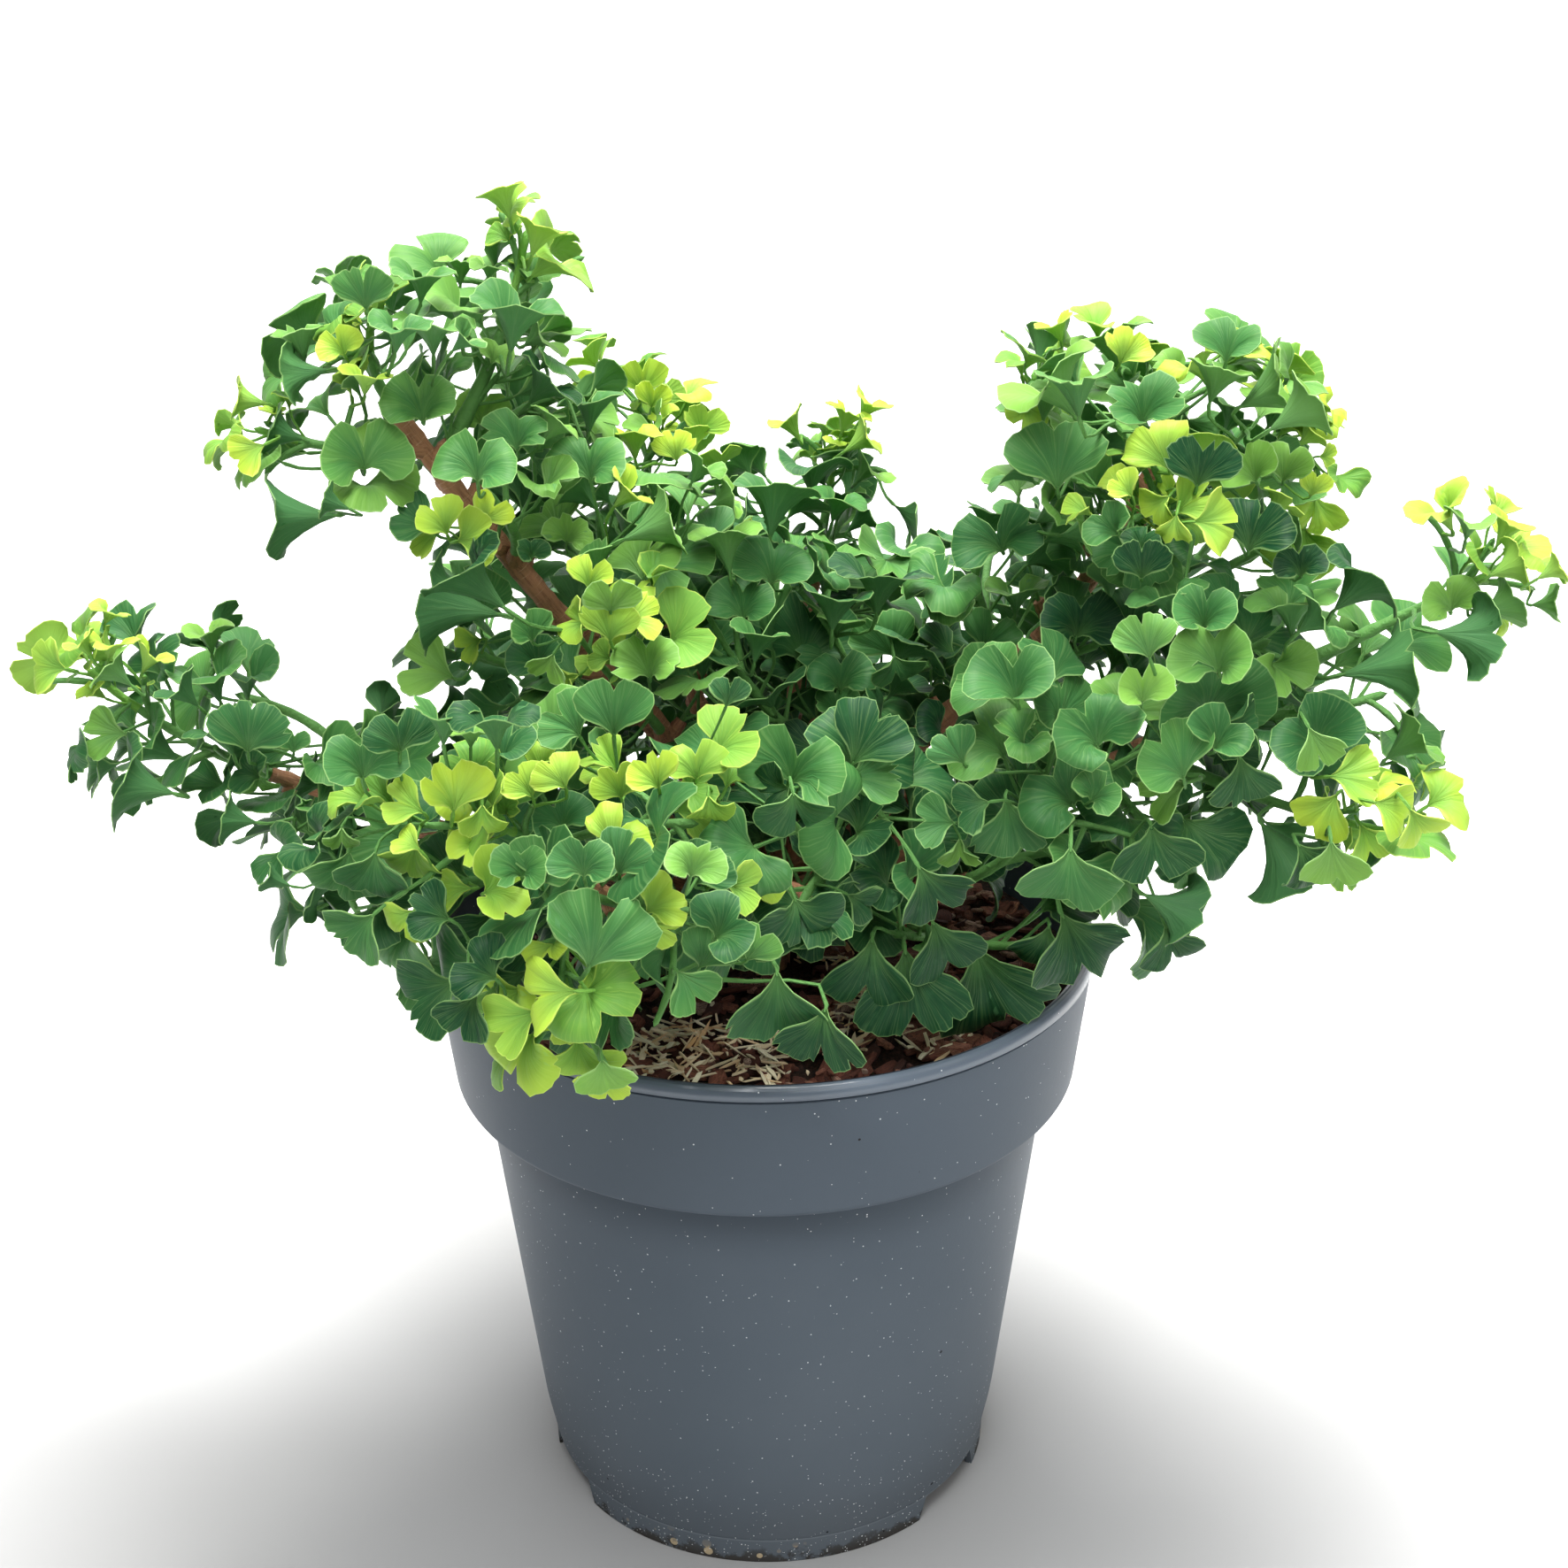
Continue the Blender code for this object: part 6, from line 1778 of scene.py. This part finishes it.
def seen_leaf(rng, turned_so, root, joint, rim):
    """A leaf with its joint and the middle of its rim where the photo shows them."""
    form, outside, notches, longer = TURNS[turned_so]
    cone, flare, spread = [math.radians(rng.uniform(*limits)) for limits in form]
    toward = (EYE - joint).normalized() + 0.22 * UP
    along = (rim - joint).normalized() + rng.uniform(-0.15, 0.25) * toward
    along.normalize()
    facing = (toward - toward.dot(along) * along).normalized()
    facing = Matrix.Rotation(rng.uniform(-0.35, 0.35), 3, along) @ facing
    rib, face = along, facing
    if outside:
        rib = math.cos(cone) * along + math.sin(cone) * facing
        face = math.sin(cone) * along - math.cos(cone) * facing
    return Leaf(root=root, joint=joint, rib=rib, face=face, radius=(rim - joint).length * longer,
                spread=spread, cone=cone, flare=flare, sag=rng.uniform(*SEEN_SAG),
                ruffle=rng.uniform(*SEEN_RUFFLE), waves=rng.uniform(*WAVES),
                phase=rng.uniform(0, math.tau), notch=rng.uniform(*notches))


def add_seen_leaves(grown, sided, solids, tubes):
    """The leaves that stand out in the photo, each as close behind its place as it stands clear."""
    places, limbs = shoot_points(grown, sided)
    rng = random.Random(77)
    found = []
    for (turned_so, shade), rows in SEEN_LEAVES.items():
        for *joint, rim_across, rim_down in rows:
            sight = np.array((seen_at(*joint, 0) - EYE).normalized())
            along = (places - np.array(EYE)) @ sight
            aside = np.linalg.norm(places - np.array(EYE) - along[:, None] * sight, axis=1)
            nearest = int(np.argmin(aside + REACH_OF_SIGHT * along))
            for step in range(STEPS_OUT):
                depth = 1000 * (places[nearest][1] - FIRST_STEP_OUT - STEP_OUT * step)
                leaf = seen_leaf(rng, turned_so, Vector(places[nearest]), seen_at(*joint, depth),
                                 seen_at(rim_across, rim_down, depth))
                solid = leaf_solid(leaf._replace(root=leaf.joint - TESTED_STALK * leaf.rib), THIN_BLADE, 0)
                if inside_box(leaf) and is_clear(solid, solids):
                    solids.append(solid)
                    middle = place_on(leaf, 0.5)
                    toward = (EYE - middle).normalized()
                    tubes.append((*(middle + SIGHT_GAP * leaf.radius * toward),
                                  *(middle + KEPT_IN_SIGHT * toward), SIGHT_WIDTH * leaf.radius))
                    found.append((limbs[nearest], shade, leaf))
                    break
    return found


def tone_of(rng, leaf, extra=0.0):
    """How light a blade is: painted light makes it lighter towards the top of the crown, and it lightens
    towards a shoot's tip.
    """
    return between_0_and_1(0.04 + 0.50 * height_in_crown(leaf.joint) + extra + rng.gauss(0, 0.14))


def young_tone(rng):
    return between_0_and_1(rng.gauss(0.45, 0.22))


def try_leaf(rng, start, along, turns, lifts, size, young, solids, tubes):
    """One more leaf on a twig or spur, drawn until it stands clear, as a list of one or none."""
    radius = size * (YOUNG_BLADE_RADIUS if young else BLADE_RADIUS)
    stalk = size * (YOUNG_STALK_LENGTH if young else STALK_LENGTH)
    for attempt in range(MORE_ATTEMPTS):
        turn = turns + 0.5 * attempt * rng.uniform(-1, 1)
        leaf = grow_leaf(rng, start, along, turn, rng.uniform(*lifts), radius,
                         stalk * rng.uniform(0.6, 1.15), young, CURLED, 0.12)
        if not stands_open(leaf, tubes):
            continue
        solid = leaf_solid(leaf, THIN_BLADE)
        if is_clear(solid, solids):
            solids.append(solid)
            return [leaf]
    return []


def rosette(rng, path, size, count, young, solids, tubes):
    """Leaves round the outer end of a twig, each a little further back from its end than the one before."""
    grown = []
    for index in range(count):
        share = 1 - 0.4 * (index + 0.5) / count if young else 0.95 - 0.5 * (index + 0.5) / count
        grown += try_leaf(rng, path(share), heading_at(path, share), index * GOLDEN_ANGLE,
                          YOUNG_LIFTS if young else GREEN_LIFTS, size * rng.uniform(0.8, 1.1), young,
                          solids, tubes)
    return grown


def nearest_wood(limb, tip, shoots):
    """Where a side shoot to a tip leaves its limb or the nearest leafy shoot, and its heading there."""
    line = LIMBS[limb][2]
    starts = [point_on(line, share) for share in np.linspace(0.3, 1, 15)]
    for path in [shoot.path for shoot in shoots]:
        starts += [(path(share), heading_at(path, share)) for share in np.linspace(0.1, 0.9, 13)]
    inside = [start for start in starts if (start[0] - CROWN_CENTRE).length < (tip - CROWN_CENTRE).length
              and (start[0] - tip).length > SHORTEST_SIDE_SHOOT]
    return min(inside or starts, key=lambda start: (start[0] - tip).length)


def side_shoots(limb, shoots):
    """The side shoots of a limb, each with its path and how many leaves it wants."""
    grown = []
    for index, (across, down, depth, green, lime) in enumerate(SIDE_SHOOTS.get(limb, ())):
        tip = seen_at(across, down, depth) - ROSETTE_HEIGHT * UP
        start, along = nearest_wood(limb, tip, shoots)
        heading = ((tip - start).normalized() + 0.5 * along).normalized()
        rng = random.Random(limb + str(index))
        grown.append(Shoot(limb, arc(start, heading, tip), rng, 1.0, green, lime, 1.0))
    return grown


def more_on_shoot(shoot, solids, tubes):
    """Leaves between those of the CAD on a shoot, and a rosette at its tip where that is young."""
    rng = random.Random("more " + shoot.name + str(shoot.leaves))
    green = []
    for index in range(MORE_GREEN):
        share = rng.uniform(0.1, shoot.close)
        green += try_leaf(rng, shoot.path(share), heading_at(shoot.path, share), index * GOLDEN_ANGLE,
                          SHOOT_LIFTS, shoot.size * rng.uniform(0.75, 1.1), False, solids, tubes)
    lime = rosette(rng, shoot.path, 0.65 * shoot.size, 4 if shoot.young else 0, True, solids, tubes)
    return green, lime


def more_on_tuft(tuft, solids, tubes):
    """The leaves of a tuft."""
    green = []
    for index in range(tuft.rng.choice(TUFT_LEAVES)):
        green += try_leaf(tuft.rng, tuft.tip, tuft.heading, index * GOLDEN_ANGLE, TUFT_LIFTS,
                          tuft.size * tuft.rng.uniform(0.75, 1.15), False, solids, tubes)
    return green


def dress_limb(limb, number, grown, tufted, sided, seen, finishes):
    """The two pieces of one limb's foliage: green shoots with their leaves, and the young tips."""
    rng = random.Random(900 + number)
    green_heap, lime_heap = Heap(), Heap()
    names = []
    for shoot, green, lime in grown:
        thick = TWIG_RADIUS * (FORK_THINNING if shoot.name in names else STOUT.get(shoot.name, 1))
        if shoot.name not in names:
            names.append(shoot.name)
        add_twig(green_heap, shoot, 0, shoot.close, thick, TWIG_TIP_RADIUS, not shoot.young, rng)
        for leaf in green:
            light = TIP_LIGHTER * (leaf.root - shoot.path(0)).length / (shoot.path(1) - shoot.path(0)).length
            add_leaf(green_heap, rng, leaf, tone_of(rng, leaf, light))
        if shoot.young:
            add_twig(lime_heap, shoot, shoot.close, 1, TWIG_TIP_RADIUS, TWIG_TIP_RADIUS - 0.0003, True, rng)
        for leaf in lime:
            add_leaf(lime_heap, rng, leaf, young_tone(rng))
    for leaves in tufted:
        for leaf in leaves:
            add_leaf(green_heap, rng, leaf, tone_of(rng, leaf))
    for shoot, green, lime in sided:
        add_twig(green_heap, shoot, 0, 1, SIDE_SHOOT_RADIUS, 0.8 * SIDE_SHOOT_RADIUS, True, rng)
        for leaf in green:
            add_leaf(green_heap, rng, leaf, tone_of(rng, leaf, SIDE_SHOOT_LIGHTER))
        for leaf in lime:
            add_leaf(lime_heap, rng, leaf, young_tone(rng))
    for shade, leaf in seen:
        # Painted light: a seen leaf is lighter the higher it stands in the crown
        tone = SHADES[shade] + 0.15 * height_in_crown(leaf.joint) + rng.gauss(0, 0.10)
        add_leaf(lime_heap if shade == "lime" else green_heap, rng, leaf, between_0_and_1(tone))
    show("leaves_" + limb, green_heap.mesh("leaves_" + limb), finishes[0],
         ["spray_" + name for name in names], 55)
    tips = ["young_" + name for name in names if any(shoot[2] for shoot in SPRAYS[name][3])]
    if lime_heap.size:
        show("tips_" + limb, lime_heap.mesh("tips_" + limb), finishes[1], tips, 55)


def dress_crown(all_tufts):
    """The foliage. The CAD's leaves grow first and those that hide something in the photo go. The seen
    leaves are set next, and then the side shoots, the shoots and the tufts are filled up."""
    mature = leaf_finish("mature_leaf", **MATURE)
    young = leaf_finish("young_leaf", **YOUNG)
    grown, guards = grow_crown()
    grown = kept(grown, lambda leaf: inside_outline(place_on(leaf, 0.5)))
    solids = crown_solids(grown, guards)
    short = {limb: side_shoots(limb, [shoot for shoot, _, _ in grown if SPRAYS[shoot.name][0] == limb])
             for limb in LIMBS}
    tubes = open_tubes()
    counted = len(solids)
    seen = add_seen_leaves(grown, short, solids, tubes)
    tubes = np.array(tubes)
    grown = kept(grown, lambda leaf: room_round(leaf, tubes) > CAD_LEAF_ROOM * leaf.radius)
    solids = crown_solids(grown, guards) + solids[counted:]
    sided = {}
    for limb in LIMBS:
        sided[limb] = []
        for shoot in short[limb]:
            size = shoot.rng.uniform(0.75, 1.0)
            lime = rosette(shoot.rng, shoot.path, size, max(shoot.young - 1, 0), True, solids, tubes)
            size = shoot.rng.uniform(0.8, 1.05)
            green = rosette(shoot.rng, shoot.path, size, shoot.leaves, False, solids, tubes)
            sided[limb].append((shoot, green, lime))
    for shoot, green, lime in grown:
        more_green, more_lime = more_on_shoot(shoot, solids, tubes)
        green += more_green
        lime += more_lime
    tufted = [(tuft.limb, more_on_tuft(tuft, solids, tubes)) for tuft in all_tufts]
    for number, limb in enumerate(LIMBS):
        dress_limb(limb, number, [item for item in grown if SPRAYS[item[0].name][0] == limb],
                   [leaves for owner, leaves in tufted if owner == limb], sided[limb],
                   [(shade, leaf) for owner, shade, leaf in seen if owner == limb], (mature, young))


dress_crown(ALL_TUFTS)
